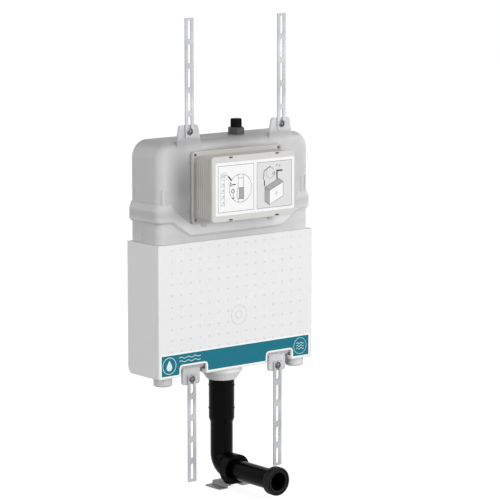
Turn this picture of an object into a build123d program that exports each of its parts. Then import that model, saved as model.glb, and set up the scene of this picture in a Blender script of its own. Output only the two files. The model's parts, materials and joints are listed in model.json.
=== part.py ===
"""Concealed toilet cistern: a moulded tank in a foam jacket, with an inspection box, fixing
straps, fill and flush valves, and a flush elbow with its extension pipe.

Millimetres. +Z is up, the wall is the plane Y = 0 and the front faces -Y. The origin is the
middle of the jacket's rear face.
"""

import os

from build123d import *

# Clearances shared by all pieces
overrun = 2.0
running_fit = 0.05
soft_gap = 0.3

# Foam jacket
jacket_width = 430.0
jacket_depth = 111.2
jacket_height = 290.6
jacket_wall = 4.8
jacket_floor = 8.0
jacket_gap = 0.2
jacket_edge_radius = 15.0
jacket_corner_radius = 2.5
jacket_hole_gap = 0.6
jacket_notch_width = 70.0
jacket_notch_height = 22.5
jacket_notch_radius = 5.0

# Tank
tank_wall = 3.5
tank_shoulder_radius = 38.0
tank_base_radius = 20.0
tank_front_radius = 18.0
tank_rear_radius = 10.0
foot_inset = 30.0
foot_depth = 85.0
foot_radius = 20.5
foot_drop = 20.0
foot_edge_radius = 4.5

# Raised band round the tank
band_rise = 50.4
band_height = 23.0
band_slope = 14.0
band_step = 5.0
band_proud = 5.0
band_low_rise = 17.4
band_box_gap = 0.2
band_end_run = 16.0
band_knee_gap = 4.0
band_corner_radius = 20.0
band_rear_radius = 4.0

# Moulded flutes, seam ridges, dimples and outlet pad of the tank
flute_inset = 17.5
flute_pitch = 10.5
flute_width = 4.0
flute_height = 47.0
flute_proud = 1.2
flute_root = 4.0
seam_depth = 42.0
seam_width = 5.0
seam_proud = 1.2
dimple_depth = 48.0
dimple_rise = 307.2
dimple_radius = 2.0
dimple_cut = 1.0
outlet_pad_radius = 42.0
outlet_pad_height = 2.5

# Strap tabs of the tank
upper_strap_spacing = 255.0
upper_tab_base = 68.0
upper_tab_top = 49.5
upper_tab_rise = 34.5
upper_tab_root = 22.0
tab_thickness = 6.0
tab_radius = 6.0
boss_radius = 8.0
boss_length = 8.0
lower_strap_spacing = 241.4
lower_tab_width = 46.5
lower_tab_drop = 22.0
lower_tab_recess = 3.7

# Straps and their screws
strap_width = 22.5
strap_thickness = 2.5
strap_radius = 2.0
strap_play = 0.15
slot_width = 8.0
slot_margin = 4.8
slot_count = 5
upper_slot_length = 41.2
upper_slot_pitch = 51.3
lower_slot_length = 36.0
lower_slot_pitch = 48.0
upper_screw_rise = 20.8
upper_screw_offset = 4.5
lower_screw_drop = 10.0
screw_radius = 3.0
screw_length = 12.0
screw_head_radius = 5.5
screw_head_height = 4.0
screw_recess_radius = 2.4
screw_recess_depth = 2.0
washer_radius = 8.0
washer_thickness = 1.2

# Inspection box
box_rise = 118.4
box_headroom = 101.0
opening_radius = 8.0
gasket_thickness = 1.5
gasket_width = 9.0
flange_width = 246.0
flange_height = 155.6
flange_lap_x = 23.0
flange_lap_z = 15.8
flange_thickness = 4.3
flange_radius = 4.0
flange_rim = 3.0
flange_rim_height = 2.0
sleeve_inset_x = 11.0
sleeve_inset_z = 9.8
sleeve_depth = 52.0
sleeve_wall = 3.0
sleeve_radius = 5.0
groove_count = 7
groove_width = 2.0
groove_depth = 1.0
collar_gap = 0.5
collar_wall = 2.5
collar_depth = 9.5
ledge_width = 15.5
ledge_thickness = 4.0
ledge_depth = 8.0
tongue_inset = 31.0
tongue_width = 12.0
tongue_height = 9.0
tongue_thickness = 2.0
tongue_radius = 1.5
frame_screw_inset_x = 7.5
frame_screw_inset_z = 7.05
frame_screw_radius = 1.75
frame_screw_head_radius = 3.0
frame_screw_head_height = 1.8
frame_screw_length = 14.0
frame_boss_radius = 5.0
frame_boss_length = 8.0

# Front cover and its label
cover_overhang_x = 3.0
cover_overhang_z = 2.75
cover_thickness = 6.0
cover_skin = 2.5
cover_radius = 7.0
cover_edge_radius = 1.5
cover_plug_depth = 10.0
cover_plug_wall = 2.0
cover_slot_inset_x = 51.0
cover_slot_inset_z = 3.35
cover_slot_width = 8.0
cover_slot_height = 2.0
cover_slot_depth = 1.5
label_margin_x = 6.0
label_margin_z = 13.75
label_radius = 3.0
label_shift = 3.2
label_thickness = 0.3

# Coloured strip on the jacket
strip_margin = 5.5
strip_height = 51.0
strip_rise = 2.5
strip_shift = 1.5
strip_notch_margin = 1.0

# Water inlet and stop valve
inlet_offset = 42.0
inlet_radius = 10.45
inlet_bore_radius = 7.0
inlet_rise = 31.0
inlet_nut_flats = 33.0
inlet_nut_height = 15.0
inlet_nut_chamfer = 1.5
inlet_washer_thickness = 2.0
cap_radius = 12.0
cap_top = 2.5
cap_chamfer = 1.0
cap_rib_count = 24
cap_rib_radius = 0.5
stop_flange_radius = 16.0
stop_flange_thickness = 4.0
stop_body_radius = 11.0
stop_body_drop = 46.0
stop_floor = 6.0
stop_branch_drop = 36.5
stop_branch_radius = 7.0
stop_branch_bore = 4.0
stop_branch_length = 22.0
stop_stem_radius = 4.0
stop_stem_length = 6.0
handle_hub_radius = 8.0
handle_hub_length = 8.0
handle_length = 28.0
handle_width = 9.0
handle_thickness = 4.0

# Supply pipe
feed_radius = 5.5
feed_bore_radius = 3.5
feed_bend_radius = 45.0
feed_run = 13.0
feed_nut_radius = 9.5
feed_nut_length = 10.0
feed_nut_cover = 6.0

# Fill valve
fill_offset = 120.0
fill_stub_radius = 7.0
fill_stub_length = 12.0
fill_head_radius = 17.0
fill_head_height = 35.0
fill_tube_radius = 9.0
fill_tube_bore = 6.5
fill_tube_length = 135.0
fill_tail_radius = 13.0
fill_tail_height = 8.0
clamp_thickness = 5.0
clamp_radius = 13.0
clamp_play = 0.2
float_radius = 36.0
float_height = 60.0
float_wall = 2.0
float_drop = 35.0
float_rod_offset = 24.0
float_rod_radius = 2.5
arm_gap = 1.0
arm_pin_radius = 2.5
arm_hub_radius = 7.5
arm_height = 7.0
arm_thickness = 7.0
arm_length = 36.0
arm_tail_length = 36.0
arm_drop = 13.0

# Flush valve
outlet_bore_radius = 24.0
tail_radius = 30.0
tail_hole_gap = 0.5
tail_length = 40.0
seat_washer_thickness = 2.0
seat_flange_radius = 40.0
seat_flange_thickness = 4.0
seat_ring_radius = 27.0
seat_ring_height = 2.0
housing_radius = 38.0
housing_wall = 3.0
housing_height = 212.0
housing_roof = 4.0
window_height = 40.0
window_rise = 6.0
window_width = 34.0
stem_radius = 13.0
stem_bore_radius = 11.0
stem_drop = 67.2
seal_radius = 29.0
seal_thickness = 1.5
seal_plate_radius = 30.0
seal_plate_thickness = 3.0
stem_cup_radius = 30.0
stem_cup_room = 23.2
stem_cup_height = 50.0
stem_cup_wall = 2.0
half_float_radius = 32.0
half_float_room = 32.0
half_float_height = 48.0
half_float_wall = 2.0
lift_offset = 22.0
lift_bar_width = 8.0
lift_bar_thickness = 4.0
lift_lug_height = 6.0
lift_lug_drop = 9.0
lift_head_width = 16.0
lift_head_depth = 10.0
lift_head_height = 5.0

# Lifter bridge and rockers
pin_radius = 3.0
pin_length = 80.0
pin_depth = 88.0
pin_drop = 29.0
hub_radius = 7.5
hub_gap = 0.5
rocker_width = 22.0
rocker_side_play = 1.0
rocker_arm_thickness = 6.0
rocker_arm_length = 42.0
rocker_pad_length = 30.0
rocker_fork_slot = 9.0
rocker_fork_root = 3.0
cheek_thickness = 4.0
cheek_reach = 7.5
cheek_drop = 7.5
bridge_side_gap = 2.0
bridge_height = 8.0
bridge_thickness = 7.0
bridge_setback = 1.2
bridge_post_width = 11.0

# Outlet nut and flush elbow
outlet_nut_radius = 46.0
outlet_nut_skirt = 20.0
outlet_nut_end_radius = 33.0
outlet_nut_height = 38.7
outlet_nut_play = 0.1
outlet_nut_chamfer = 1.5
cone_seal_thickness = 2.0
cone_seal_bore = 25.0
pipe_collar_radius = 29.7
pipe_collar_height = 2.3
socket_radius = 28.5
socket_wall = 3.0
socket_end_drop = 120.0
socket_taper = 10.0
socket_rib_width = 3.0
socket_rib_proud = 0.8
upper_rib_drop = 46.0
lower_rib_drop = 97.6
pipe_radius = 25.0
pipe_wall = 2.7
bend_radius = 30.0
elbow_drop = 229.0
mouth_rear_depth = 90.0
mouth_step = 2.0
mouth_front_depth = 110.0
lip_seal_width = 6.0
lip_seal_setback = 8.0
lip_seal_play = 0.1

# Pipe clip and floor bracket
clip_radius = 34.0
clip_rear_depth = 90.0
clip_front_depth = 112.0
clip_base_width = 36.0
clip_shoulder_width = 56.0
clip_shoulder_rise = 12.2
clip_screw_spacing = 28.0
clip_screw_radius = 2.0
clip_screw_head_radius = 3.8
clip_screw_head_height = 2.2
clip_screw_length = 7.0
bracket_drop = 31.2
bracket_width = 90.0
bracket_top_width = 44.0
bracket_height = 9.8
bracket_thickness = 2.5
bracket_lean = 2.5
bracket_rear = 52.0
bracket_front = 104.0
bracket_hole_depth = 82.0
bracket_hole_spacing = 72.0
bracket_hole_radius = 3.5
bracket_corner_radius = 4.0

# Extension pipe
extension_radius = 22.5
extension_bore_radius = 20.5
extension_rear = 93.0
extension_front = 248.0
end_seal_radius = 31.5
end_seal_rear = 238.0
end_seal_front = 255.0
end_seal_round = 3.5

# Places worked out from the sizes
jacket_bottom = -jacket_height / 2
jacket_top = jacket_height / 2
jacket_front = -jacket_depth
wall_allowance = jacket_wall + jacket_gap
tank_half_width = jacket_width / 2 - wall_allowance
foot_x = jacket_width / 2 - foot_inset
tank_rear = -wall_allowance
tank_front = jacket_front + wall_allowance
tank_depth = tank_rear - tank_front
tank_middle = (tank_rear + tank_front) / 2
tank_bottom = jacket_bottom + jacket_floor
box_z = jacket_top + box_rise
tank_top = box_z + box_headroom
inner_bottom = tank_bottom + tank_wall
inner_top = tank_top - tank_wall
inner_front = tank_front + tank_wall
band_bottom = jacket_top + band_rise
band_top = band_bottom + band_height
lower_tab_face = tank_front + lower_tab_recess
upper_screw_z = tank_top + upper_screw_rise
lower_screw_z = jacket_bottom - lower_screw_drop
flange_rear = tank_front - gasket_thickness
flange_front = flange_rear - flange_thickness
flange_bottom = box_z - flange_height / 2
sleeve_front = flange_front - sleeve_depth
opening_width = flange_width - 2 * flange_lap_x
opening_height = flange_height - 2 * flange_lap_z
frame_screw_x = flange_width / 2 - frame_screw_inset_x
frame_screw_z = flange_height / 2 - frame_screw_inset_z
sleeve_width = flange_width - 2 * sleeve_inset_x
sleeve_height = flange_height - 2 * sleeve_inset_z
collar_rear = flange_rear + collar_depth
collar_half_width = opening_width / 2 - collar_gap
cover_width = sleeve_width + 2 * cover_overhang_x
cover_height = sleeve_height + 2 * cover_overhang_z
cover_rear = sleeve_front - soft_gap
cover_front = cover_rear - cover_thickness
inlet_top = tank_top + inlet_rise
inlet_nut_top = tank_top + inlet_nut_height
branch_z = inner_top - stop_branch_drop
branch_end = inlet_offset + stop_branch_length
stop_front = tank_middle - stop_body_radius
fill_stub_top = branch_z - feed_bend_radius - feed_run
fill_head_top = fill_stub_top - fill_stub_length
fill_head_bottom = fill_head_top - fill_head_height
fill_tube_bottom = fill_head_bottom - fill_tube_length
float_top = fill_head_bottom - float_drop
float_bottom = float_top - float_height
arm_z = fill_head_top - arm_drop
arm_rear = tank_middle - fill_head_radius - arm_gap
arm_front = arm_rear - arm_thickness
seat_bottom = inner_bottom + outlet_pad_height + seat_washer_thickness
seat_top = seat_bottom + seat_flange_thickness
seat_ring_top = seat_top + seat_ring_height
tail_end = seat_bottom - tail_length
housing_top = seat_top + housing_height
half_high = housing_top - half_float_room
half_low = half_high - half_float_height
cup_high = half_low - stem_cup_room
cup_low = cup_high - stem_cup_height
seal_bottom = seat_ring_top + soft_gap
stem_bottom = seal_bottom + seal_thickness
pin_z = box_z - pin_drop
pin_y = -pin_depth
stem_top = pin_z - stem_drop
rocker_top = pin_z + rocker_arm_thickness / 2
lift_head_bottom = rocker_top + soft_gap
bridge_bottom = pin_z + hub_radius + hub_gap
bridge_top = bridge_bottom + bridge_height
bridge_front = collar_rear + bridge_setback
bridge_rear = bridge_front + bridge_thickness
bridge_half_width = collar_half_width - collar_wall - bridge_side_gap
clamp_bottom = fill_head_top + clamp_play
nut_bottom = tank_bottom - outlet_nut_height
collar_top = tail_end - cone_seal_thickness
elbow_z = jacket_bottom - elbow_drop
bracket_top = elbow_z - bracket_drop
bracket_bottom = bracket_top - bracket_height
both_sides = (-1, 1)


def upright_ring(x, y, outer, inner, low, high, mode=Mode.ADD):
    """A ring about the upright line at x, y, or a disc where inner is zero."""
    with BuildSketch(Plane.XY.offset(low)) as outline:
        with Locations((x, y)):
            Circle(outer)
            if inner > 0:
                Circle(inner, mode=Mode.SUBTRACT)
    extrude(outline.sketch, amount=high - low, mode=mode)


def level_ring(x, z, outer, inner, rear, front, mode=Mode.ADD):
    """A ring about the line at x, z that runs from the rear to the front."""
    with BuildSketch(Plane.XZ.offset(-rear)) as outline:
        with Locations((x, z)):
            Circle(outer)
            if inner > 0:
                Circle(inner, mode=Mode.SUBTRACT)
    extrude(outline.sketch, amount=rear - front, mode=mode)


def turn(points, x, y, mode=Mode.ADD):
    """Turn an outline of radius and height about the upright line at x, y."""
    with BuildSketch(Plane(origin=(x, y, 0), x_dir=(1, 0, 0), z_dir=(0, -1, 0))) as outline:
        with BuildLine():
            Polyline(*points, close=True)
        make_face()
    revolve(outline.sketch, axis=Axis((x, y, 0), (0, 0, 1)), mode=mode)


def block(low, high, mode=Mode.ADD):
    """A block between two corners."""
    with BuildSketch(Plane.XY.offset(low[2])) as outline:
        with Locations(((low[0] + high[0]) / 2, (low[1] + high[1]) / 2)):
            Rectangle(high[0] - low[0], high[1] - low[1])
    extrude(outline.sketch, amount=high[2] - low[2], mode=mode)


def panel(x, z, width, height, radius, rear, front, mode=Mode.ADD):
    """A plate that faces the front, with rounded corners."""
    with BuildSketch(Plane.XZ.offset(-rear)) as outline:
        with Locations((x, z)):
            RectangleRounded(width, height, radius)
    extrude(outline.sketch, amount=rear - front, mode=mode)


def save(part, name):
    """Name a finished piece and write its file."""
    part.label = name
    export_step(part, f"parts/{name}.step")


def vessel(inset):
    """The tank's rounded body, drawn in by inset on every side."""
    with BuildPart() as body:
        with BuildSketch(Plane.XZ.offset(inset - tank_rear)) as outline:
            with Locations((0, (tank_bottom + tank_top) / 2)):
                Rectangle(2 * (tank_half_width - inset), tank_top - tank_bottom - 2 * inset)
            fillet(outline.vertices().group_by(Axis.Y)[-1], tank_shoulder_radius - inset)
            fillet(outline.vertices().group_by(Axis.Y)[0], tank_base_radius - inset)
        extrude(amount=tank_depth - 2 * inset)
        front_edges = body.faces().sort_by(Axis.Y)[0].outer_wire().edges()
        fillet(front_edges, tank_front_radius - inset)
        rear_edges = body.faces().sort_by(Axis.Y)[-1].outer_wire().edges()
        fillet(rear_edges, tank_rear_radius - inset)
    return body.part


def band_points(top_spread, bottom_spread):
    """The raised band seen from the front, which dips under the inspection box."""
    end = tank_half_width - tank_front_radius
    outer_knee = end - band_end_run
    inner_knee = flange_width / 2 + band_knee_gap
    top = band_top + top_spread
    low_top = flange_bottom - band_box_gap
    bottom = band_bottom - bottom_spread
    low_bottom = jacket_top + band_low_rise - bottom_spread
    return [
        (-end, top),
        (-outer_knee, top),
        (-inner_knee, low_top),
        (inner_knee, low_top),
        (outer_knee, top),
        (end, top),
        (end, bottom),
        (outer_knee, bottom),
        (inner_knee, low_bottom),
        (-inner_knee, low_bottom),
        (-outer_knee, bottom),
        (-end, bottom),
    ]


os.makedirs("parts", exist_ok=True)

# Band: the front run steps down under the box, and the side runs turn the corners
with BuildPart() as band_front:
    with BuildSketch(Plane.XZ.offset(-tank_front)):
        with BuildLine():
            Polyline(*band_points(band_slope, band_step), close=True)
        make_face()
    with BuildSketch(Plane.XZ.offset(band_proud - tank_front)):
        with BuildLine():
            Polyline(*band_points(0, 0), close=True)
        make_face()
    loft(ruled=True)

with BuildPart() as band_sides:
    for level, inset in (
        (band_bottom - band_step, band_proud),
        (band_bottom, 0),
        (band_top, 0),
        (band_top + band_slope, band_proud),
    ):
        band_width = 2 * (tank_half_width + band_proud - inset)
        band_depth = tank_depth + band_proud - inset
        with BuildSketch(Plane.XY.offset(level)) as plan:
            with Locations((0, tank_rear - band_depth / 2)):
                Rectangle(band_width, band_depth)
            fillet(plan.vertices().group_by(Axis.Y)[0], band_corner_radius - inset)
            fillet(plan.vertices().group_by(Axis.Y)[-1], band_rear_radius)
    loft(ruled=True)
    block(
        (tank_front_radius - tank_half_width, jacket_front - overrun, jacket_top),
        (tank_half_width - tank_front_radius, overrun, tank_top),
        Mode.SUBTRACT,
    )

with BuildPart() as feet:
    for side in both_sides:
        upright_ring(
            side * foot_x,
            -foot_depth,
            foot_radius,
            0,
            jacket_bottom - foot_drop,
            tank_bottom + tank_front_radius,
        )
    fillet(feet.edges().group_by(Axis.Z)[0], foot_edge_radius)

# Tank
with BuildPart() as tank:
    add(vessel(0))
    add(band_front.part)
    add(band_sides.part)
    add(feet.part)
    with BuildSketch(Plane.XZ.offset(-tank_front)) as upper_tabs:
        for side in both_sides:
            middle = side * upper_strap_spacing / 2
            with BuildLine():
                Polyline(
                    (middle - upper_tab_base / 2, tank_top - upper_tab_root),
                    (middle + upper_tab_base / 2, tank_top - upper_tab_root),
                    (middle + upper_tab_top / 2, tank_top + upper_tab_rise),
                    (middle - upper_tab_top / 2, tank_top + upper_tab_rise),
                    close=True,
                )
            make_face()
        fillet(upper_tabs.vertices().group_by(Axis.Y)[-1], tab_radius)
    extrude(amount=-tab_thickness)
    with BuildSketch(Plane.XZ.offset(-lower_tab_face)) as lower_tabs:
        tab_low = jacket_bottom - lower_tab_drop
        tab_high = tank_bottom + tank_front_radius
        for side in both_sides:
            with Locations((side * lower_strap_spacing / 2, (tab_low + tab_high) / 2)):
                Rectangle(lower_tab_width, tab_high - tab_low)
        fillet(lower_tabs.vertices().group_by(Axis.Y)[0], tab_radius)
    extrude(amount=-tab_thickness)
    with BuildSketch(Plane.XZ.offset(-tank_front - flute_root)):
        for side in both_sides:
            for step in both_sides:
                flute_x = side * (tank_half_width - flute_inset) + step * flute_pitch / 2
                with Locations((flute_x, band_top + flute_height / 2)):
                    SlotOverall(flute_height, flute_width, rotation=90)
    extrude(amount=flute_root + flute_proud)
    for side in both_sides:
        seam_x = side * tank_half_width
        block(
            (seam_x - seam_proud, -seam_depth - seam_width / 2, jacket_top + overrun),
            (seam_x + seam_proud, -seam_depth + seam_width / 2, band_bottom),
        )
        for spacing, height, face in (
            (upper_strap_spacing, upper_screw_z, tank_front),
            (lower_strap_spacing, lower_screw_z, lower_tab_face),
        ):
            boss_rear = face + tab_thickness + boss_length
            level_ring(side * spacing / 2, height, boss_radius, 0, boss_rear, face)
        with BuildSketch(Plane.YZ.offset(seam_x - side * dimple_cut)) as dimple:
            with Locations((-dimple_depth, jacket_bottom + dimple_rise)):
                Circle(dimple_radius)
        extrude(dimple.sketch, amount=side * (dimple_cut + overrun), mode=Mode.SUBTRACT)
    add(vessel(tank_wall), mode=Mode.SUBTRACT)
    for side in both_sides:
        for spacing, height, face in (
            (upper_strap_spacing, upper_screw_z, tank_front),
            (lower_strap_spacing, lower_screw_z, lower_tab_face),
        ):
            level_ring(
                side * spacing / 2,
                height,
                screw_radius + running_fit,
                0,
                face + screw_length + soft_gap,
                face - overrun,
                Mode.SUBTRACT,
            )
        for end in both_sides:
            screw_x = side * frame_screw_x
            screw_z = box_z + end * frame_screw_z
            level_ring(
                screw_x,
                screw_z,
                frame_boss_radius,
                0,
                inner_front + frame_boss_length,
                inner_front,
            )
            level_ring(
                screw_x,
                screw_z,
                frame_screw_radius + running_fit,
                0,
                inner_front + frame_boss_length + overrun,
                tank_front - overrun,
                Mode.SUBTRACT,
            )
    panel(
        0,
        box_z,
        opening_width,
        opening_height,
        opening_radius,
        inner_front + overrun,
        tank_front - overrun,
        Mode.SUBTRACT,
    )
    pad_top = inner_bottom + outlet_pad_height
    upright_ring(0, tank_middle, outlet_pad_radius, 0, tank_bottom, pad_top)
    upright_ring(
        0,
        tank_middle,
        tail_radius + tail_hole_gap,
        0,
        tank_bottom - overrun,
        pad_top + overrun,
        Mode.SUBTRACT,
    )
    upright_ring(
        inlet_offset,
        tank_middle,
        inlet_radius + tail_hole_gap,
        0,
        inner_top - overrun,
        tank_top + overrun,
        Mode.SUBTRACT,
    )
save(tank.part, "tank")

# Foam jacket
with BuildPart() as jacket:
    with BuildSketch(Plane.XY.offset(jacket_bottom)):
        with Locations((0, jacket_front / 2)):
            Rectangle(jacket_width, jacket_depth)
    extrude(amount=jacket_height)
    wall_edge = jacket.edges().filter_by(Axis.X).group_by(Axis.Z)[0].sort_by(Axis.Y)[-1]
    fillet(wall_edge, jacket_edge_radius)
    front_corners = jacket.edges().filter_by(Axis.Z).group_by(Axis.Y)[0]
    fillet(front_corners, jacket_corner_radius)
    with BuildSketch(Plane.XY.offset(tank_bottom)) as hollow:
        with Locations((0, tank_middle)):
            Rectangle(
                2 * (tank_half_width + jacket_gap),
                tank_depth + 2 * jacket_gap,
            )
        fillet(hollow.vertices().group_by(Axis.Y)[0], tank_front_radius + jacket_gap)
        fillet(hollow.vertices().group_by(Axis.Y)[-1], tank_rear_radius + jacket_gap)
    extrude(amount=jacket_height, mode=Mode.SUBTRACT)
    with BuildSketch(Plane.XZ.offset(jacket_depth + overrun)) as notches:
        for side in both_sides:
            with Locations((side * lower_strap_spacing / 2, jacket_bottom)):
                Rectangle(jacket_notch_width, 2 * jacket_notch_height)
        fillet(notches.vertices().group_by(Axis.Y)[-1], jacket_notch_radius)
    notch_rear = lower_tab_face + tab_thickness + boss_length + soft_gap
    extrude(amount=jacket_front - overrun - notch_rear, mode=Mode.SUBTRACT)
    upright_ring(
        0,
        tank_middle,
        outlet_nut_radius + jacket_hole_gap,
        0,
        jacket_bottom - overrun,
        tank_bottom + overrun,
        Mode.SUBTRACT,
    )
    for side in both_sides:
        upright_ring(
            side * foot_x,
            -foot_depth,
            foot_radius + jacket_hole_gap,
            0,
            jacket_bottom - overrun,
            tank_bottom + overrun,
            Mode.SUBTRACT,
        )
save(jacket.part, "insulation_jacket")

# Coloured strip, cut round the notches
with BuildPart() as jacket_strip:
    with BuildSketch(Plane.XZ.offset(jacket_depth)) as strip:
        strip_z = jacket_bottom + strip_rise + strip_height / 2
        with Locations((-strip_shift, strip_z)):
            Rectangle(jacket_width - 2 * strip_margin, strip_height)
        notch_z = jacket_bottom + strip_rise
        notch_height = jacket_notch_height + strip_notch_margin - strip_rise
        for side in both_sides:
            with Locations((side * lower_strap_spacing / 2, notch_z + notch_height / 2)):
                Rectangle(
                    jacket_notch_width + 2 * strip_notch_margin,
                    notch_height,
                    mode=Mode.SUBTRACT,
                )
    extrude(amount=label_thickness)
save(jacket_strip.part, "jacket_label")

# Gasket between the tank and the inspection box
with BuildPart() as gasket:
    panel(
        0,
        box_z,
        opening_width + 2 * gasket_width,
        opening_height + 2 * gasket_width,
        opening_radius,
        tank_front,
        flange_rear,
    )
    panel(
        0,
        box_z,
        opening_width,
        opening_height,
        opening_radius,
        tank_front + overrun,
        flange_rear - overrun,
        Mode.SUBTRACT,
    )
save(gasket.part, "frame_gasket")

# Inspection box: flange, sleeve with break-off grooves, collar and ledges
with BuildPart() as frame:
    panel(0, box_z, flange_width, flange_height, flange_radius, flange_rear, flange_front)
    panel(
        0,
        box_z,
        flange_width,
        flange_height,
        flange_radius,
        flange_front,
        flange_front - flange_rim_height,
    )
    panel(
        0,
        box_z,
        flange_width - 2 * flange_rim,
        flange_height - 2 * flange_rim,
        flange_radius - flange_rim,
        flange_front,
        flange_front - flange_rim_height - overrun,
        Mode.SUBTRACT,
    )
    panel(0, box_z, sleeve_width, sleeve_height, sleeve_radius, flange_front, sleeve_front)
    groove_pitch = sleeve_depth / (groove_count + 1)
    for number in range(groove_count):
        groove_rear = flange_front - (number + 1) * groove_pitch
        with BuildSketch(Plane.XZ.offset(-groove_rear)) as groove:
            with Locations((0, box_z)):
                Rectangle(flange_width, flange_height)
                RectangleRounded(
                    sleeve_width - 2 * groove_depth,
                    sleeve_height - 2 * groove_depth,
                    sleeve_radius - groove_depth,
                    mode=Mode.SUBTRACT,
                )
        extrude(groove.sketch, amount=groove_width, mode=Mode.SUBTRACT)
    panel(
        0,
        box_z,
        sleeve_width - 2 * sleeve_wall,
        sleeve_height - 2 * sleeve_wall,
        sleeve_radius - sleeve_wall,
        flange_front,
        sleeve_front - overrun,
        Mode.SUBTRACT,
    )
    panel(
        0,
        box_z,
        2 * collar_half_width,
        opening_height - 2 * collar_gap,
        opening_radius - collar_gap,
        collar_rear,
        flange_rear,
    )
    panel(
        0,
        box_z,
        2 * (collar_half_width - collar_wall),
        opening_height - 2 * (collar_gap + collar_wall),
        opening_radius - collar_gap - collar_wall,
        collar_rear + overrun,
        flange_front - overrun,
        Mode.SUBTRACT,
    )
    for side in both_sides:
        ledge_ends = (side * (collar_half_width - ledge_width), side * collar_half_width)
        block(
            (min(ledge_ends), flange_rear, bridge_bottom - ledge_thickness),
            (max(ledge_ends), collar_rear + ledge_depth, bridge_bottom),
        )
        panel(
            side * (flange_width / 2 - tongue_inset),
            flange_bottom - (tongue_height - flange_rim) / 2,
            tongue_width,
            tongue_height + flange_rim,
            tongue_radius,
            jacket_front - soft_gap,
            jacket_front - soft_gap - tongue_thickness,
        )
        for end in both_sides:
            level_ring(
                side * frame_screw_x,
                box_z + end * frame_screw_z,
                frame_screw_radius + running_fit,
                0,
                flange_rear + overrun,
                flange_front - overrun,
                Mode.SUBTRACT,
            )
save(frame.part, "inspection_frame")

# Screws of the inspection box
with BuildPart() as frame_screws:
    for side in both_sides:
        for end in both_sides:
            screw_x = side * frame_screw_x
            screw_z = box_z + end * frame_screw_z
            level_ring(
                screw_x,
                screw_z,
                frame_screw_radius,
                0,
                flange_front + frame_screw_length,
                flange_front,
            )
            level_ring(
                screw_x,
                screw_z,
                frame_screw_head_radius,
                0,
                flange_front,
                flange_front - frame_screw_head_height,
            )
save(frame_screws.part, "frame_screws")

# Front cover, hollow behind, with a plug wall that fits the sleeve
with BuildPart() as cover:
    panel(0, box_z, cover_width, cover_height, cover_radius, cover_rear, cover_front)
    fillet(cover.faces().sort_by(Axis.Y)[0].outer_wire().edges(), cover_edge_radius)
    panel(
        0,
        box_z,
        cover_width - 2 * cover_skin,
        cover_height - 2 * cover_skin,
        cover_radius - cover_skin,
        cover_rear + overrun,
        cover_front + cover_skin,
        Mode.SUBTRACT,
    )
    plug_width = sleeve_width - 2 * (sleeve_wall + soft_gap)
    plug_height = sleeve_height - 2 * (sleeve_wall + soft_gap)
    plug_rear = cover_rear + cover_plug_depth
    with BuildSketch(Plane.XZ.offset(-plug_rear)) as plug:
        with Locations((0, box_z)):
            RectangleRounded(plug_width, plug_height, sleeve_radius - sleeve_wall)
            Rectangle(
                plug_width - 2 * cover_plug_wall,
                plug_height - 2 * cover_plug_wall,
                mode=Mode.SUBTRACT,
            )
    extrude(plug.sketch, amount=plug_rear - cover_front - cover_skin)
    for side in both_sides:
        for end in both_sides:
            slot_x = side * (cover_width / 2 - cover_slot_inset_x)
            slot_z = box_z + end * (cover_height / 2 - cover_slot_inset_z)
            block(
                (
                    slot_x - cover_slot_width / 2,
                    cover_front - overrun,
                    slot_z - cover_slot_height / 2,
                ),
                (
                    slot_x + cover_slot_width / 2,
                    cover_front + cover_slot_depth,
                    slot_z + cover_slot_height / 2,
                ),
                Mode.SUBTRACT,
            )
save(cover.part, "front_cover")

with BuildPart() as cover_label:
    panel(
        label_shift,
        box_z,
        cover_width - 2 * label_margin_x,
        cover_height - 2 * label_margin_z,
        label_radius,
        cover_front,
        cover_front - label_thickness,
    )
save(cover_label.part, "instruction_label")


def slotted_strap(x, low, slot_length, slot_pitch, face):
    """A strap with a row of slots, just in front of a tab's face."""
    length = 2 * slot_margin + (slot_count - 1) * slot_pitch + slot_length
    with BuildPart() as strap:
        with BuildSketch(Plane.XZ.offset(soft_gap - face)):
            with Locations((x, low + length / 2)):
                RectangleRounded(strap_width, length, strap_radius)
                with GridLocations(0, slot_pitch, 1, slot_count):
                    SlotOverall(slot_length, slot_width, rotation=90, mode=Mode.SUBTRACT)
        extrude(amount=strap_thickness)
    return strap.part


def strap_screw(x, z, face):
    """A washer-faced screw with a domed head, its shank in a tab of the tank."""
    seat = face - soft_gap - strap_thickness - strap_play
    rim = seat - washer_thickness
    crown = rim - screw_head_height
    with BuildPart() as screw:
        with BuildSketch(Plane(origin=(x, 0, z), x_dir=(1, 0, 0), z_dir=(0, 0, 1))) as outline:
            with BuildLine():
                Polyline(
                    (0, crown + screw_recess_depth),
                    (0, face + screw_length),
                    (screw_radius, face + screw_length),
                    (screw_radius, seat),
                    (washer_radius, seat),
                    (washer_radius, rim),
                    (screw_head_radius, rim),
                )
                TangentArc(
                    (screw_head_radius, rim),
                    (screw_recess_radius, crown),
                    tangent=(0, -1),
                )
                Polyline(
                    (screw_recess_radius, crown),
                    (screw_recess_radius, crown + screw_recess_depth),
                    (0, crown + screw_recess_depth),
                )
            make_face()
        revolve(outline.sketch, axis=Axis((x, 0, z), (0, 1, 0)))
    return screw.part


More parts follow.
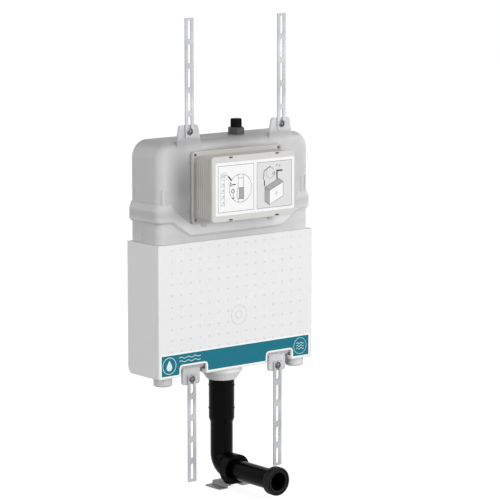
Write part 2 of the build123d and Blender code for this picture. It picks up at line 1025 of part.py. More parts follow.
# Straps, and the screws that hold them to the tabs
upper_strap_low = upper_screw_z - upper_screw_offset - slot_width / 2 - slot_margin
lower_strap_top = lower_screw_z + slot_width / 2 + slot_margin
lower_strap_length = 2 * slot_margin + (slot_count - 1) * lower_slot_pitch + lower_slot_length
for side, hand in zip(both_sides, ("left", "right")):
    upper_x = side * upper_strap_spacing / 2
    lower_x = side * lower_strap_spacing / 2
    save(
        slotted_strap(upper_x, upper_strap_low, upper_slot_length, upper_slot_pitch, tank_front),
        f"upper_{hand}_strap",
    )
    save(
        slotted_strap(
            lower_x,
            lower_strap_top - lower_strap_length,
            lower_slot_length,
            lower_slot_pitch,
            lower_tab_face,
        ),
        f"lower_{hand}_strap",
    )
    save(strap_screw(upper_x, upper_screw_z, tank_front), f"upper_{hand}_screw")
    save(strap_screw(lower_x, lower_screw_z, lower_tab_face), f"lower_{hand}_screw")

# Water inlet: stop valve with its stub through the tank's top, nut, washer and cap
with BuildPart() as stop_valve:
    stop_flange_top = inner_top - inlet_washer_thickness
    stop_flange_low = stop_flange_top - stop_flange_thickness
    stop_bottom = inner_top - stop_body_drop
    turn(
        (
            (inlet_bore_radius, inlet_top),
            (inlet_radius, inlet_top),
            (inlet_radius, stop_flange_top),
            (stop_flange_radius, stop_flange_top),
            (stop_flange_radius, stop_flange_low),
            (stop_body_radius, stop_flange_low),
            (stop_body_radius, stop_bottom),
            (0, stop_bottom),
            (0, stop_bottom + stop_floor),
            (inlet_bore_radius, stop_bottom + stop_floor),
        ),
        inlet_offset,
        tank_middle,
    )
    with BuildSketch(Plane.YZ.offset(inlet_offset + inlet_bore_radius)) as branch:
        with Locations((tank_middle, branch_z)):
            Circle(stop_branch_radius)
    extrude(branch.sketch, amount=stop_branch_length - inlet_bore_radius)
    with BuildSketch(Plane.YZ.offset(inlet_offset)) as branch_bore:
        with Locations((tank_middle, branch_z)):
            Circle(stop_branch_bore)
    extrude(branch_bore.sketch, amount=stop_branch_length + overrun, mode=Mode.SUBTRACT)
    level_ring(
        inlet_offset,
        branch_z,
        stop_stem_radius,
        0,
        tank_middle - inlet_bore_radius - overrun,
        stop_front - stop_stem_length,
    )
save(stop_valve.part, "stop_valve_body")

with BuildPart() as stop_handle:
    hub_rear = stop_front - soft_gap
    hub_front = hub_rear - handle_hub_length
    level_ring(inlet_offset, branch_z, handle_hub_radius, 0, hub_rear, hub_front)
    with BuildSketch(Plane.XZ.offset(-hub_front)) as lever:
        with Locations((inlet_offset, branch_z - handle_length / 2)):
            SlotOverall(handle_length + handle_width, handle_width, rotation=90)
    extrude(lever.sketch, amount=-handle_thickness)
    level_ring(
        inlet_offset,
        branch_z,
        stop_stem_radius + running_fit,
        0,
        hub_rear + overrun,
        stop_front - stop_stem_length - soft_gap,
        Mode.SUBTRACT,
    )
save(stop_handle.part, "stop_valve_handle")

with BuildPart() as inlet_washer:
    upright_ring(
        inlet_offset,
        tank_middle,
        stop_flange_radius,
        inlet_radius + running_fit,
        inner_top - inlet_washer_thickness,
        inner_top,
    )
save(inlet_washer.part, "inlet_washer")

with BuildPart() as inlet_nut:
    with BuildSketch(Plane.XY.offset(tank_top)):
        with Locations((inlet_offset, tank_middle)):
            RegularPolygon(inlet_nut_flats / 2, 6, major_radius=False)
            Circle(inlet_radius + running_fit, mode=Mode.SUBTRACT)
    extrude(amount=inlet_nut_height)
    nut_top_edges = inlet_nut.faces().sort_by(Axis.Z)[-1].outer_wire().edges()
    chamfer(nut_top_edges, inlet_nut_chamfer)
save(inlet_nut.part, "inlet_nut")

with BuildPart() as inlet_cap:
    cap_bottom = inlet_nut_top + soft_gap
    cap_height = inlet_top + soft_gap + cap_top - cap_bottom
    upright_ring(inlet_offset, tank_middle, cap_radius, 0, cap_bottom, cap_bottom + cap_height)
    chamfer(inlet_cap.edges().group_by(Axis.Z)[-1], cap_chamfer)
    with BuildSketch(Plane.XY.offset(cap_bottom)) as cap_ribs:
        with Locations((inlet_offset, tank_middle)):
            with PolarLocations(cap_radius, cap_rib_count):
                Circle(cap_rib_radius)
    extrude(cap_ribs.sketch, amount=cap_height - 2 * cap_chamfer)
    upright_ring(
        inlet_offset,
        tank_middle,
        inlet_radius + running_fit,
        0,
        cap_bottom - overrun,
        inlet_top + soft_gap,
        Mode.SUBTRACT,
    )
save(inlet_cap.part, "inlet_cap")

# Supply pipe with its two nuts, from the stop valve round to the fill valve
with BuildPart() as feed:
    with BuildLine() as feed_path:
        FilletPolyline(
            (branch_end + running_fit, tank_middle, branch_z),
            (fill_offset, tank_middle, branch_z),
            (fill_offset, tank_middle, fill_stub_top + running_fit),
            radius=feed_bend_radius,
        )
    with BuildSketch(Plane.YZ.offset(branch_end + running_fit)):
        with Locations((tank_middle, branch_z)):
            Circle(feed_radius)
    sweep()
    with BuildSketch(Plane.YZ.offset(branch_end - feed_nut_cover)) as nut_side:
        with Locations((tank_middle, branch_z)):
            Circle(feed_nut_radius)
    extrude(nut_side.sketch, amount=feed_nut_length)
    upright_ring(
        fill_offset,
        tank_middle,
        feed_nut_radius,
        0,
        fill_stub_top - feed_nut_cover,
        fill_stub_top - feed_nut_cover + feed_nut_length,
    )
    with BuildSketch(Plane.YZ.offset(branch_end - feed_nut_cover - overrun)) as nut_bore:
        with Locations((tank_middle, branch_z)):
            Circle(stop_branch_radius + running_fit)
    extrude(
        nut_bore.sketch,
        amount=feed_nut_cover + overrun + running_fit,
        mode=Mode.SUBTRACT,
    )
    upright_ring(
        fill_offset,
        tank_middle,
        fill_stub_radius + running_fit,
        0,
        fill_stub_top - feed_nut_cover - overrun,
        fill_stub_top + running_fit,
        Mode.SUBTRACT,
    )
    with BuildSketch(Plane.YZ.offset(branch_end + running_fit)) as feed_bore:
        with Locations((tank_middle, branch_z)):
            Circle(feed_bore_radius)
    sweep(feed_bore.sketch, path=feed_path.line, mode=Mode.SUBTRACT)
save(feed.part, "supply_pipe")

# Fill valve: body, clamp, float and arm
with BuildPart() as fill_valve:
    turn(
        (
            (fill_tube_bore, fill_tube_bottom),
            (fill_tail_radius, fill_tube_bottom),
            (fill_tail_radius, fill_tube_bottom + fill_tail_height),
            (fill_tube_radius, fill_tube_bottom + fill_tail_height),
            (fill_tube_radius, fill_head_bottom),
            (fill_head_radius, fill_head_bottom),
            (fill_head_radius, fill_head_top),
            (fill_stub_radius, fill_head_top),
            (fill_stub_radius, fill_stub_top),
            (stop_branch_bore, fill_stub_top),
            (stop_branch_bore, fill_head_bottom),
            (fill_tube_bore, fill_head_bottom),
        ),
        fill_offset,
        tank_middle,
    )
    level_ring(
        fill_offset,
        arm_z,
        arm_pin_radius,
        0,
        tank_middle - stop_branch_radius,
        arm_front,
    )
save(fill_valve.part, "fill_valve_body")

with BuildPart() as clamp:
    with BuildSketch(Plane.XY.offset(clamp_bottom)) as clamp_plan:
        with Locations((fill_offset, tank_middle)):
            Circle(clamp_radius)
        post_outer = bridge_half_width
        with BuildLine():
            Polyline(
                (post_outer, bridge_front),
                (post_outer - bridge_post_width, bridge_front),
                (post_outer - bridge_post_width, bridge_rear),
                (fill_offset - clamp_radius, tank_middle),
                (fill_offset, tank_middle - clamp_radius),
                close=True,
            )
        make_face()
        with Locations((fill_offset, tank_middle)):
            Circle(fill_stub_radius + running_fit, mode=Mode.SUBTRACT)
    extrude(amount=clamp_thickness)
save(clamp.part, "fill_valve_bracket")

with BuildPart() as fill_float:
    turn(
        (
            (fill_tube_radius + soft_gap, float_bottom),
            (fill_tube_radius + soft_gap, float_top),
            (float_radius, float_top),
            (float_radius, float_bottom),
            (float_radius - float_wall, float_bottom),
            (float_radius - float_wall, float_top - float_wall),
            (fill_tube_radius + soft_gap + float_wall, float_top - float_wall),
            (fill_tube_radius + soft_gap + float_wall, float_bottom),
        ),
        fill_offset,
        tank_middle,
    )
    upright_ring(
        fill_offset + float_rod_offset,
        (arm_rear + arm_front) / 2,
        float_rod_radius,
        0,
        float_top - float_wall,
        arm_z - arm_height / 2 - soft_gap,
    )
save(fill_float.part, "fill_valve_float")

with BuildPart() as fill_arm:
    level_ring(fill_offset, arm_z, arm_hub_radius, 0, arm_rear, arm_front)
    block(
        (fill_offset - arm_tail_length, arm_front, arm_z - arm_height / 2),
        (fill_offset + arm_length, arm_rear, arm_z + arm_height / 2),
    )
    level_ring(
        fill_offset,
        arm_z,
        arm_pin_radius + running_fit,
        0,
        arm_rear + overrun,
        arm_front - overrun,
        Mode.SUBTRACT,
    )
save(fill_arm.part, "fill_valve_arm")

# Flush valve: seat with its tail, washer, housing, stem, seal and half flush float
with BuildPart() as seat:
    turn(
        (
            (outlet_bore_radius, tail_end),
            (tail_radius, tail_end),
            (tail_radius, seat_bottom),
            (seat_flange_radius, seat_bottom),
            (seat_flange_radius, seat_top),
            (seat_ring_radius, seat_top),
            (seat_ring_radius, seat_ring_top),
            (outlet_bore_radius, seat_ring_top),
        ),
        0,
        tank_middle,
    )
save(seat.part, "flush_valve_seat")

with BuildPart() as seat_washer:
    upright_ring(
        0,
        tank_middle,
        seat_flange_radius,
        tail_radius + tail_hole_gap,
        pad_top,
        seat_bottom,
    )
save(seat_washer.part, "seat_washer")

with BuildPart() as housing:
    upright_ring(0, tank_middle, housing_radius, 0, seat_top, housing_top)
    upright_ring(
        0,
        tank_middle,
        housing_radius - housing_wall,
        0,
        seat_top - overrun,
        housing_top - housing_roof,
        Mode.SUBTRACT,
    )
    upright_ring(
        0,
        tank_middle,
        stem_radius + soft_gap,
        0,
        housing_top - housing_roof - overrun,
        housing_top + overrun,
        Mode.SUBTRACT,
    )
    bar_hole_width = lift_bar_width / 2 + soft_gap
    bar_hole_depth = lift_bar_thickness / 2 + soft_gap
    block(
        (
            lift_offset - bar_hole_width,
            tank_middle - bar_hole_depth,
            housing_top - housing_roof - overrun,
        ),
        (
            lift_offset + bar_hole_width,
            tank_middle + bar_hole_depth,
            housing_top + overrun,
        ),
        Mode.SUBTRACT,
    )
    window_low = seat_top + window_rise
    window_high = window_low + window_height
    reach = housing_radius + overrun
    block(
        (-window_width / 2, tank_middle - reach, window_low),
        (window_width / 2, tank_middle + reach, window_high),
        Mode.SUBTRACT,
    )
    block(
        (-reach, tank_middle - window_width / 2, window_low),
        (reach, tank_middle + window_width / 2, window_high),
        Mode.SUBTRACT,
    )
save(housing.part, "flush_valve_housing")


def lift_bar(side, low):
    """A flat bar with a cross head, which a rocker's fork lifts."""
    block(
        (
            side * lift_offset - lift_bar_width / 2,
            tank_middle - lift_bar_thickness / 2,
            low,
        ),
        (
            side * lift_offset + lift_bar_width / 2,
            tank_middle + lift_bar_thickness / 2,
            lift_head_bottom,
        ),
    )
    block(
        (
            side * lift_offset - lift_head_width / 2,
            tank_middle - lift_head_depth / 2,
            lift_head_bottom,
        ),
        (
            side * lift_offset + lift_head_width / 2,
            tank_middle + lift_head_depth / 2,
            lift_head_bottom + lift_head_height,
        ),
    )


with BuildPart() as stem:
    plate_top = stem_bottom + seal_plate_thickness
    turn(
        (
            (stem_bore_radius, stem_bottom),
            (seal_plate_radius, stem_bottom),
            (seal_plate_radius, plate_top),
            (stem_radius, plate_top),
            (stem_radius, cup_high - stem_cup_wall),
            (stem_cup_radius - stem_cup_wall, cup_high - stem_cup_wall),
            (stem_cup_radius - stem_cup_wall, cup_low),
            (stem_cup_radius, cup_low),
            (stem_cup_radius, cup_high),
            (stem_radius, cup_high),
            (stem_radius, stem_top),
            (stem_bore_radius, stem_top),
        ),
        0,
        tank_middle,
    )
    lug_low = stem_top - lift_lug_drop
    block(
        (
            -lift_offset - lift_bar_width / 2,
            tank_middle - lift_bar_thickness / 2,
            lug_low,
        ),
        (
            -(stem_radius + stem_bore_radius) / 2,
            tank_middle + lift_bar_thickness / 2,
            lug_low + lift_lug_height,
        ),
    )
    lift_bar(-1, lug_low)
save(stem.part, "flush_valve_stem")

with BuildPart() as seal:
    upright_ring(0, tank_middle, seal_radius, stem_bore_radius, seal_bottom, stem_bottom)
save(seal.part, "flush_valve_seal")

with BuildPart() as half_float:
    half_bore = stem_radius + soft_gap
    turn(
        (
            (half_bore, half_low),
            (half_bore, half_high),
            (half_float_radius, half_high),
            (half_float_radius, half_low),
            (half_float_radius - half_float_wall, half_low),
            (half_float_radius - half_float_wall, half_high - half_float_wall),
            (half_bore + half_float_wall, half_high - half_float_wall),
            (half_bore + half_float_wall, half_low),
        ),
        0,
        tank_middle,
    )
    lift_bar(1, half_high - half_float_wall)
save(half_float.part, "half_flush_float")

# Lifter bridge on the frame's ledges, with the rocker pin and the two rockers
rocker_low = lift_offset - rocker_width / 2
rocker_high = lift_offset + rocker_width / 2
with BuildPart() as bridge:
    block(
        (-bridge_half_width, bridge_front, bridge_bottom),
        (bridge_half_width, bridge_rear, bridge_top),
    )
    block(
        (bridge_half_width - bridge_post_width, bridge_front, bridge_top),
        (bridge_half_width, bridge_rear, clamp_bottom),
    )
    for side in both_sides:
        for inner in (
            rocker_low - rocker_side_play - cheek_thickness,
            rocker_high + rocker_side_play,
        ):
            cheek_ends = (side * inner, side * (inner + cheek_thickness))
            block(
                (min(cheek_ends), bridge_front, pin_z - cheek_drop),
                (max(cheek_ends), pin_y + cheek_reach, bridge_top),
            )
    with BuildSketch(Plane.YZ.offset(-pin_length / 2 - overrun)) as pin_hole:
        with Locations((pin_y, pin_z)):
            Circle(pin_radius + running_fit)
    extrude(pin_hole.sketch, amount=pin_length + 2 * overrun, mode=Mode.SUBTRACT)
save(bridge.part, "lifter_bridge")

with BuildPart() as rocker_pin:
    with BuildSketch(Plane.YZ.offset(-pin_length / 2)):
        with Locations((pin_y, pin_z)):
            Circle(pin_radius)
    extrude(amount=pin_length)
save(rocker_pin.part, "rocker_pin")

for side, name in zip(both_sides, ("full_flush_rocker", "half_flush_rocker")):
    with BuildPart() as rocker:
        rocker_start = min(side * rocker_low, side * rocker_high)
        with BuildSketch(Plane.YZ.offset(rocker_start)):
            with Locations((pin_y, pin_z)):
                Circle(hub_radius)
            with Locations((pin_y + rocker_arm_length / 2, pin_z)):
                Rectangle(rocker_arm_length, rocker_arm_thickness)
            with Locations((pin_y, pin_z - rocker_pad_length / 2)):
                Rectangle(rocker_arm_thickness, rocker_pad_length)
            with Locations((pin_y, pin_z)):
                Circle(pin_radius + running_fit, mode=Mode.SUBTRACT)
        extrude(amount=rocker_width)
        fork_root = tank_middle - lift_bar_thickness / 2 - rocker_fork_root
        block(
            (
                side * lift_offset - rocker_fork_slot / 2,
                fork_root,
                pin_z - rocker_arm_thickness,
            ),
            (
                side * lift_offset + rocker_fork_slot / 2,
                pin_y + rocker_arm_length + overrun,
                pin_z + rocker_arm_thickness,
            ),
            Mode.SUBTRACT,
        )
    save(rocker.part, name)

# Outlet nut and cone seal
with BuildPart() as outlet_nut:
    nut_bore = tail_radius + outlet_nut_play
    lip_bore = socket_radius + soft_gap
    turn(
        (
            (nut_bore, tank_bottom),
            (outlet_nut_radius - outlet_nut_chamfer, tank_bottom),
            (outlet_nut_radius, tank_bottom - outlet_nut_chamfer),
            (outlet_nut_radius, tank_bottom - outlet_nut_skirt),
            (outlet_nut_end_radius, nut_bottom),
            (lip_bore, nut_bottom),
            (lip_bore, collar_top - pipe_collar_height - running_fit),
            (nut_bore, collar_top - pipe_collar_height - running_fit),
        ),
        0,
        tank_middle,
    )
save(outlet_nut.part, "outlet_nut")

with BuildPart() as cone_seal:
    upright_ring(0, tank_middle, pipe_collar_radius, cone_seal_bore, collar_top, tail_end)
save(cone_seal.part, "pipe_cone_seal")

# Flush elbow: upright socket, bend and level mouth, outside and then inside
bend_z = elbow_z + bend_radius
bend_y = tank_middle - bend_radius
socket_end = jacket_bottom - socket_end_drop


def elbow_bend(radius, mode=Mode.ADD):
    """The quarter bend from upright to level, of the given pipe radius."""
    with BuildSketch(Plane.XY.offset(bend_z)) as section:
        with Locations((0, tank_middle)):
            Circle(radius)
    bend_axis = Axis((0, bend_y, bend_z), (-1, 0, 0))
    revolve(section.sketch, axis=bend_axis, revolution_arc=90, mode=mode)


with BuildPart() as elbow:
    turn(
        (
            (0, bend_z),
            (pipe_radius, bend_z),
            (pipe_radius, socket_end - socket_taper),
            (socket_radius, socket_end),
            (socket_radius, collar_top - pipe_collar_height),
            (pipe_collar_radius, collar_top - pipe_collar_height),
            (pipe_collar_radius, collar_top),
            (0, collar_top),
        ),
        0,
        tank_middle,
    )
    for rib_drop in (upper_rib_drop, lower_rib_drop):
        rib_z = jacket_bottom - rib_drop
        upright_ring(
            0,
            tank_middle,
            socket_radius + socket_rib_proud,
            0,
            rib_z - socket_rib_width / 2,
            rib_z + socket_rib_width / 2,
        )
    elbow_bend(pipe_radius)
    level_ring(0, elbow_z, pipe_radius, 0, bend_y, -mouth_rear_depth)
    level_ring(0, elbow_z, socket_radius, 0, -mouth_rear_depth, -mouth_front_depth)
    bore_radius = pipe_radius - pipe_wall
    turn(
        (
            (0, bend_z),
            (bore_radius, bend_z),
            (bore_radius, socket_end - socket_taper),
            (socket_radius - socket_wall, socket_end),
            (socket_radius - socket_wall, collar_top + overrun),
            (0, collar_top + overrun),
        ),
        0,
        tank_middle,
        Mode.SUBTRACT,
    )
    elbow_bend(bore_radius, Mode.SUBTRACT)
    level_ring(0, elbow_z, bore_radius, 0, bend_y, -mouth_rear_depth - mouth_step, Mode.SUBTRACT)
    level_ring(
        0,
        elbow_z,
        socket_radius - socket_wall,
        0,
        -mouth_rear_depth - mouth_step,
        -mouth_front_depth - overrun,
        Mode.SUBTRACT,
    )
save(elbow.part, "flush_elbow")

with BuildPart() as lip_seal:
    level_ring(
        0,
        elbow_z,
        socket_radius - socket_wall - lip_seal_play,
        extension_radius + lip_seal_play,
        -mouth_front_depth + lip_seal_setback + lip_seal_width,
        -mouth_front_depth + lip_seal_setback,
    )
save(lip_seal.part, "elbow_lip_seal")

# Pipe clip on the floor bracket
with BuildPart() as clip:
    with BuildSketch(Plane.XZ.offset(clip_rear_depth)) as clip_outline:
        with Locations((0, elbow_z)):
            Circle(clip_radius)
        shoulder_z = bracket_top + clip_shoulder_rise
        with BuildLine():
            Polyline(
                (-clip_base_width / 2, bracket_top),
                (clip_base_width / 2, bracket_top),
                (clip_shoulder_width / 2, shoulder_z),
                (-clip_shoulder_width / 2, shoulder_z),
                close=True,
            )
        make_face()
        with Locations((0, elbow_z)):
            Circle(socket_radius + soft_gap, mode=Mode.SUBTRACT)
        with Locations((0, bracket_top - clip_radius)):
            Rectangle(2 * clip_radius, 2 * clip_radius, mode=Mode.SUBTRACT)
    extrude(amount=clip_front_depth - clip_rear_depth)
    clip_middle = -(clip_rear_depth + clip_front_depth) / 2
    for side in both_sides:
        upright_ring(
            side * clip_screw_spacing / 2,
            clip_middle,
            clip_screw_radius + running_fit,
            0,
            bracket_top - overrun,
            bracket_top - bracket_thickness + clip_screw_length + running_fit,
            Mode.SUBTRACT,
        )
save(clip.part, "pipe_clip")

with BuildPart() as bracket:
    with BuildSketch(Plane.XZ.offset(bracket_rear)):
        half_flange = bracket_width / 2
        half_top = bracket_top_width / 2
        flange_top = bracket_bottom + bracket_thickness
        with BuildLine():
            Polyline(
                (-half_flange, bracket_bottom),
                (-half_top, bracket_bottom),
                (bracket_lean - half_top, bracket_top - bracket_thickness),
                (half_top - bracket_lean, bracket_top - bracket_thickness),
                (half_top, bracket_bottom),
                (half_flange, bracket_bottom),
                (half_flange, flange_top),
                (half_top + bracket_lean, flange_top),
                (half_top, bracket_top),
                (-half_top, bracket_top),
                (-half_top - bracket_lean, flange_top),
                (-half_flange, flange_top),
                close=True,
            )
        make_face()
    extrude(amount=bracket_front - bracket_rear)
    flange_corners = bracket.edges().filter_by(Axis.Z).group_by(Axis.X)
    fillet(flange_corners[0] + flange_corners[-1], bracket_corner_radius)
    for side in both_sides:
        upright_ring(
            side * bracket_hole_spacing / 2,
            -bracket_hole_depth,
            bracket_hole_radius,
            0,
            bracket_bottom - overrun,
            flange_top + overrun,
            Mode.SUBTRACT,
        )
        upright_ring(
            side * clip_screw_spacing / 2,
            clip_middle,
            clip_screw_radius + running_fit,
            0,
            bracket_top - bracket_thickness - overrun,
            bracket_top + overrun,
            Mode.SUBTRACT,
        )
save(bracket.part, "floor_bracket")

with BuildPart() as clip_screws:
    screw_seat = bracket_top - bracket_thickness
    for side in both_sides:
        turn(
            (
                (0, screw_seat - clip_screw_head_height),
                (clip_screw_head_radius, screw_seat - clip_screw_head_height),
                (clip_screw_head_radius, screw_seat),
                (clip_screw_radius, screw_seat),
                (clip_screw_radius, screw_seat + clip_screw_length),
                (0, screw_seat + clip_screw_length),
            ),
            side * clip_screw_spacing / 2,
            clip_middle,
        )
save(clip_screws.part, "clip_screws")

# Extension pipe and its end seal
with BuildPart() as extension:
    level_ring(
        0,
        elbow_z,
        extension_radius,
        extension_bore_radius,
        -extension_rear,
        -extension_front,
    )
save(extension.part, "extension_pipe")

with BuildPart() as end_seal:
    level_ring(0, elbow_z, end_seal_radius, 0, -end_seal_rear, -end_seal_front)
    fillet(end_seal.edges().group_by(Axis.Y)[0], end_seal_round)
    level_ring(
        0,
        elbow_z,
        extension_radius + running_fit,
        0,
        -end_seal_rear + overrun,
        -extension_front,
        Mode.SUBTRACT,
    )
    level_ring(
        0,
        elbow_z,
        extension_bore_radius,
        0,
        -extension_front + overrun,
        -end_seal_front - overrun,
        Mode.SUBTRACT,
    )
save(end_seal.part, "end_seal")
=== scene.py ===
"""Looks of the concealed cistern: finishes, printed films, screws, vents, light and camera.

Metres, in the model's frame: +Z is up, the wall is the plane Y = 0 and the front faces -Y.
"""

from __future__ import annotations

import json
import logging
import math
from contextlib import contextmanager
from dataclasses import dataclass, field
from enum import Enum
from typing import Callable, Iterator, Sequence

import bmesh
import bpy
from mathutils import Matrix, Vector

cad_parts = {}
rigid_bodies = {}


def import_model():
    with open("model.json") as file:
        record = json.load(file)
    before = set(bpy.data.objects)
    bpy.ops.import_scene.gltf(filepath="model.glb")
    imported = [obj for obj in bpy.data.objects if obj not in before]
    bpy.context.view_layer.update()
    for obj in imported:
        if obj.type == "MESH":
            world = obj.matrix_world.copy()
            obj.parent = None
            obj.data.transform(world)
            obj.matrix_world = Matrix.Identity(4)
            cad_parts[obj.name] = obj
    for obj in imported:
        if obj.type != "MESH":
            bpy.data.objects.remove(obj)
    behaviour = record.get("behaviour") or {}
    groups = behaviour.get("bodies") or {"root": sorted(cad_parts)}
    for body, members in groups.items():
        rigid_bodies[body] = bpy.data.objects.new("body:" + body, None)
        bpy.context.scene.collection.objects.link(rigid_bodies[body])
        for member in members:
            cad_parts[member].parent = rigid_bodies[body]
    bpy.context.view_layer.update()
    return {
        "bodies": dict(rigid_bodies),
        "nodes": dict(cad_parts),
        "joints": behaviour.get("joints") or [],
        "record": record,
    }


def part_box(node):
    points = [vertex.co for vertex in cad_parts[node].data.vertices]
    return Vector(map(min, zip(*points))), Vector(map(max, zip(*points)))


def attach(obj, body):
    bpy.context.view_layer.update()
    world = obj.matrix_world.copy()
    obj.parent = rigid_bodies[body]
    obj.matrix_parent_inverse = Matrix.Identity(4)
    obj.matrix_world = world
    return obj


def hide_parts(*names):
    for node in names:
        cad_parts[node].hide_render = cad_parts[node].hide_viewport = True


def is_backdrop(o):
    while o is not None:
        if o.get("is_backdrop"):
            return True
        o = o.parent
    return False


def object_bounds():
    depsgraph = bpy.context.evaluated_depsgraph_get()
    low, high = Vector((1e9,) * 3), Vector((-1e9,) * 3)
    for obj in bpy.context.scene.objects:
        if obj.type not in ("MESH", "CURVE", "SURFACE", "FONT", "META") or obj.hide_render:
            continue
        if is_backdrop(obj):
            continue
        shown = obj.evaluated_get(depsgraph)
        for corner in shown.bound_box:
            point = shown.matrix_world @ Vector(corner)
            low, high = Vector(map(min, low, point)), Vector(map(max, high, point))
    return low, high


LOG = logging.getLogger("cistern")
MM = 0.001
QUARTER = math.pi / 2
EDGE_SAMPLES = 6

# How near two levels count as one, and how squarely a face has to look along an axis.
TOUCH = 0.01 * MM
FACING = 0.999

# A share of a line's width, and two of a drop's radius.
LINE_ROUNDING = 0.45
DROP_RISE = 1.15
DROP_REACH = 1.4

Colour = tuple[float, float, float]
Place = tuple[float, float, float]
Spot = tuple[float, float]
Piece = bpy.types.Object
Socket = bpy.types.NodeSocket
Inputs = dict[str | int, object]

WHITE: Colour = (1.0, 1.0, 1.0)


def opaque(colour: Colour) -> tuple[float, float, float, float]:
    """Give a colour the alpha that sockets ask for."""
    return (*colour, 1.0)


def box_of(node: str) -> tuple[Vector, Vector]:
    """Give a model node's lowest and highest corners."""
    low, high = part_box(node)
    return Vector(low), Vector(high)


def around(middle: Spot, size: Spot) -> tuple[Spot, Spot]:
    """Give the lowest and highest corners of an area of some size round a place."""
    wide, tall = size[0] / 2, size[1] / 2
    return (middle[0] - wide, middle[1] - tall), (middle[0] + wide, middle[1] + tall)


class Nodes:
    """A node tree that is built up by short calls."""

    def __init__(self, tree: bpy.types.NodeTree) -> None:
        """Empty the tree to build in."""
        self.tree = tree
        tree.nodes.clear()

    def plug(self, node: bpy.types.Node, inputs: Inputs) -> None:
        """Link or set a node's inputs.

        Args:
            node: the node.
            inputs: what goes into each socket, another node's output or a plain value.
        """
        for key, value in inputs.items():
            if isinstance(value, Socket):
                self.tree.links.new(value, node.inputs[key])
            else:
                node.inputs[key].default_value = value

    def add(
        self, kind: str, inputs: Inputs | None = None, **settings: object
    ) -> bpy.types.Node:
        """Add a node.

        Args:
            kind: the node's type name.
            inputs: what goes into its sockets, as plug takes it.
            **settings: properties to set on it.

        Returns:
            The new node.
        """
        node = self.tree.nodes.new(kind)
        for key, value in settings.items():
            setattr(node, key, value)
        self.plug(node, inputs or {})
        return node

    def maths(self, operation: str, *values: Socket | float) -> Socket:
        """Work a number out from others, by the operation of that name."""
        node = self.add("ShaderNodeMath", dict(enumerate(values)), operation=operation)
        return node.outputs["Value"]

    def seen(self, strength: float) -> Socket:
        """Give a strength that holds only for rays that see the background.

        Args:
            strength: the strength for those rays.

        Returns:
            The strength for every ray.
        """
        rays = self.add("ShaderNodeLightPath").outputs
        total = rays["Is Camera Ray"]
        for name in ("Is Glossy Ray", "Is Transmission Ray"):
            total = self.maths("MAXIMUM", total, rays[name])
        return self.maths("MULTIPLY", total, strength)


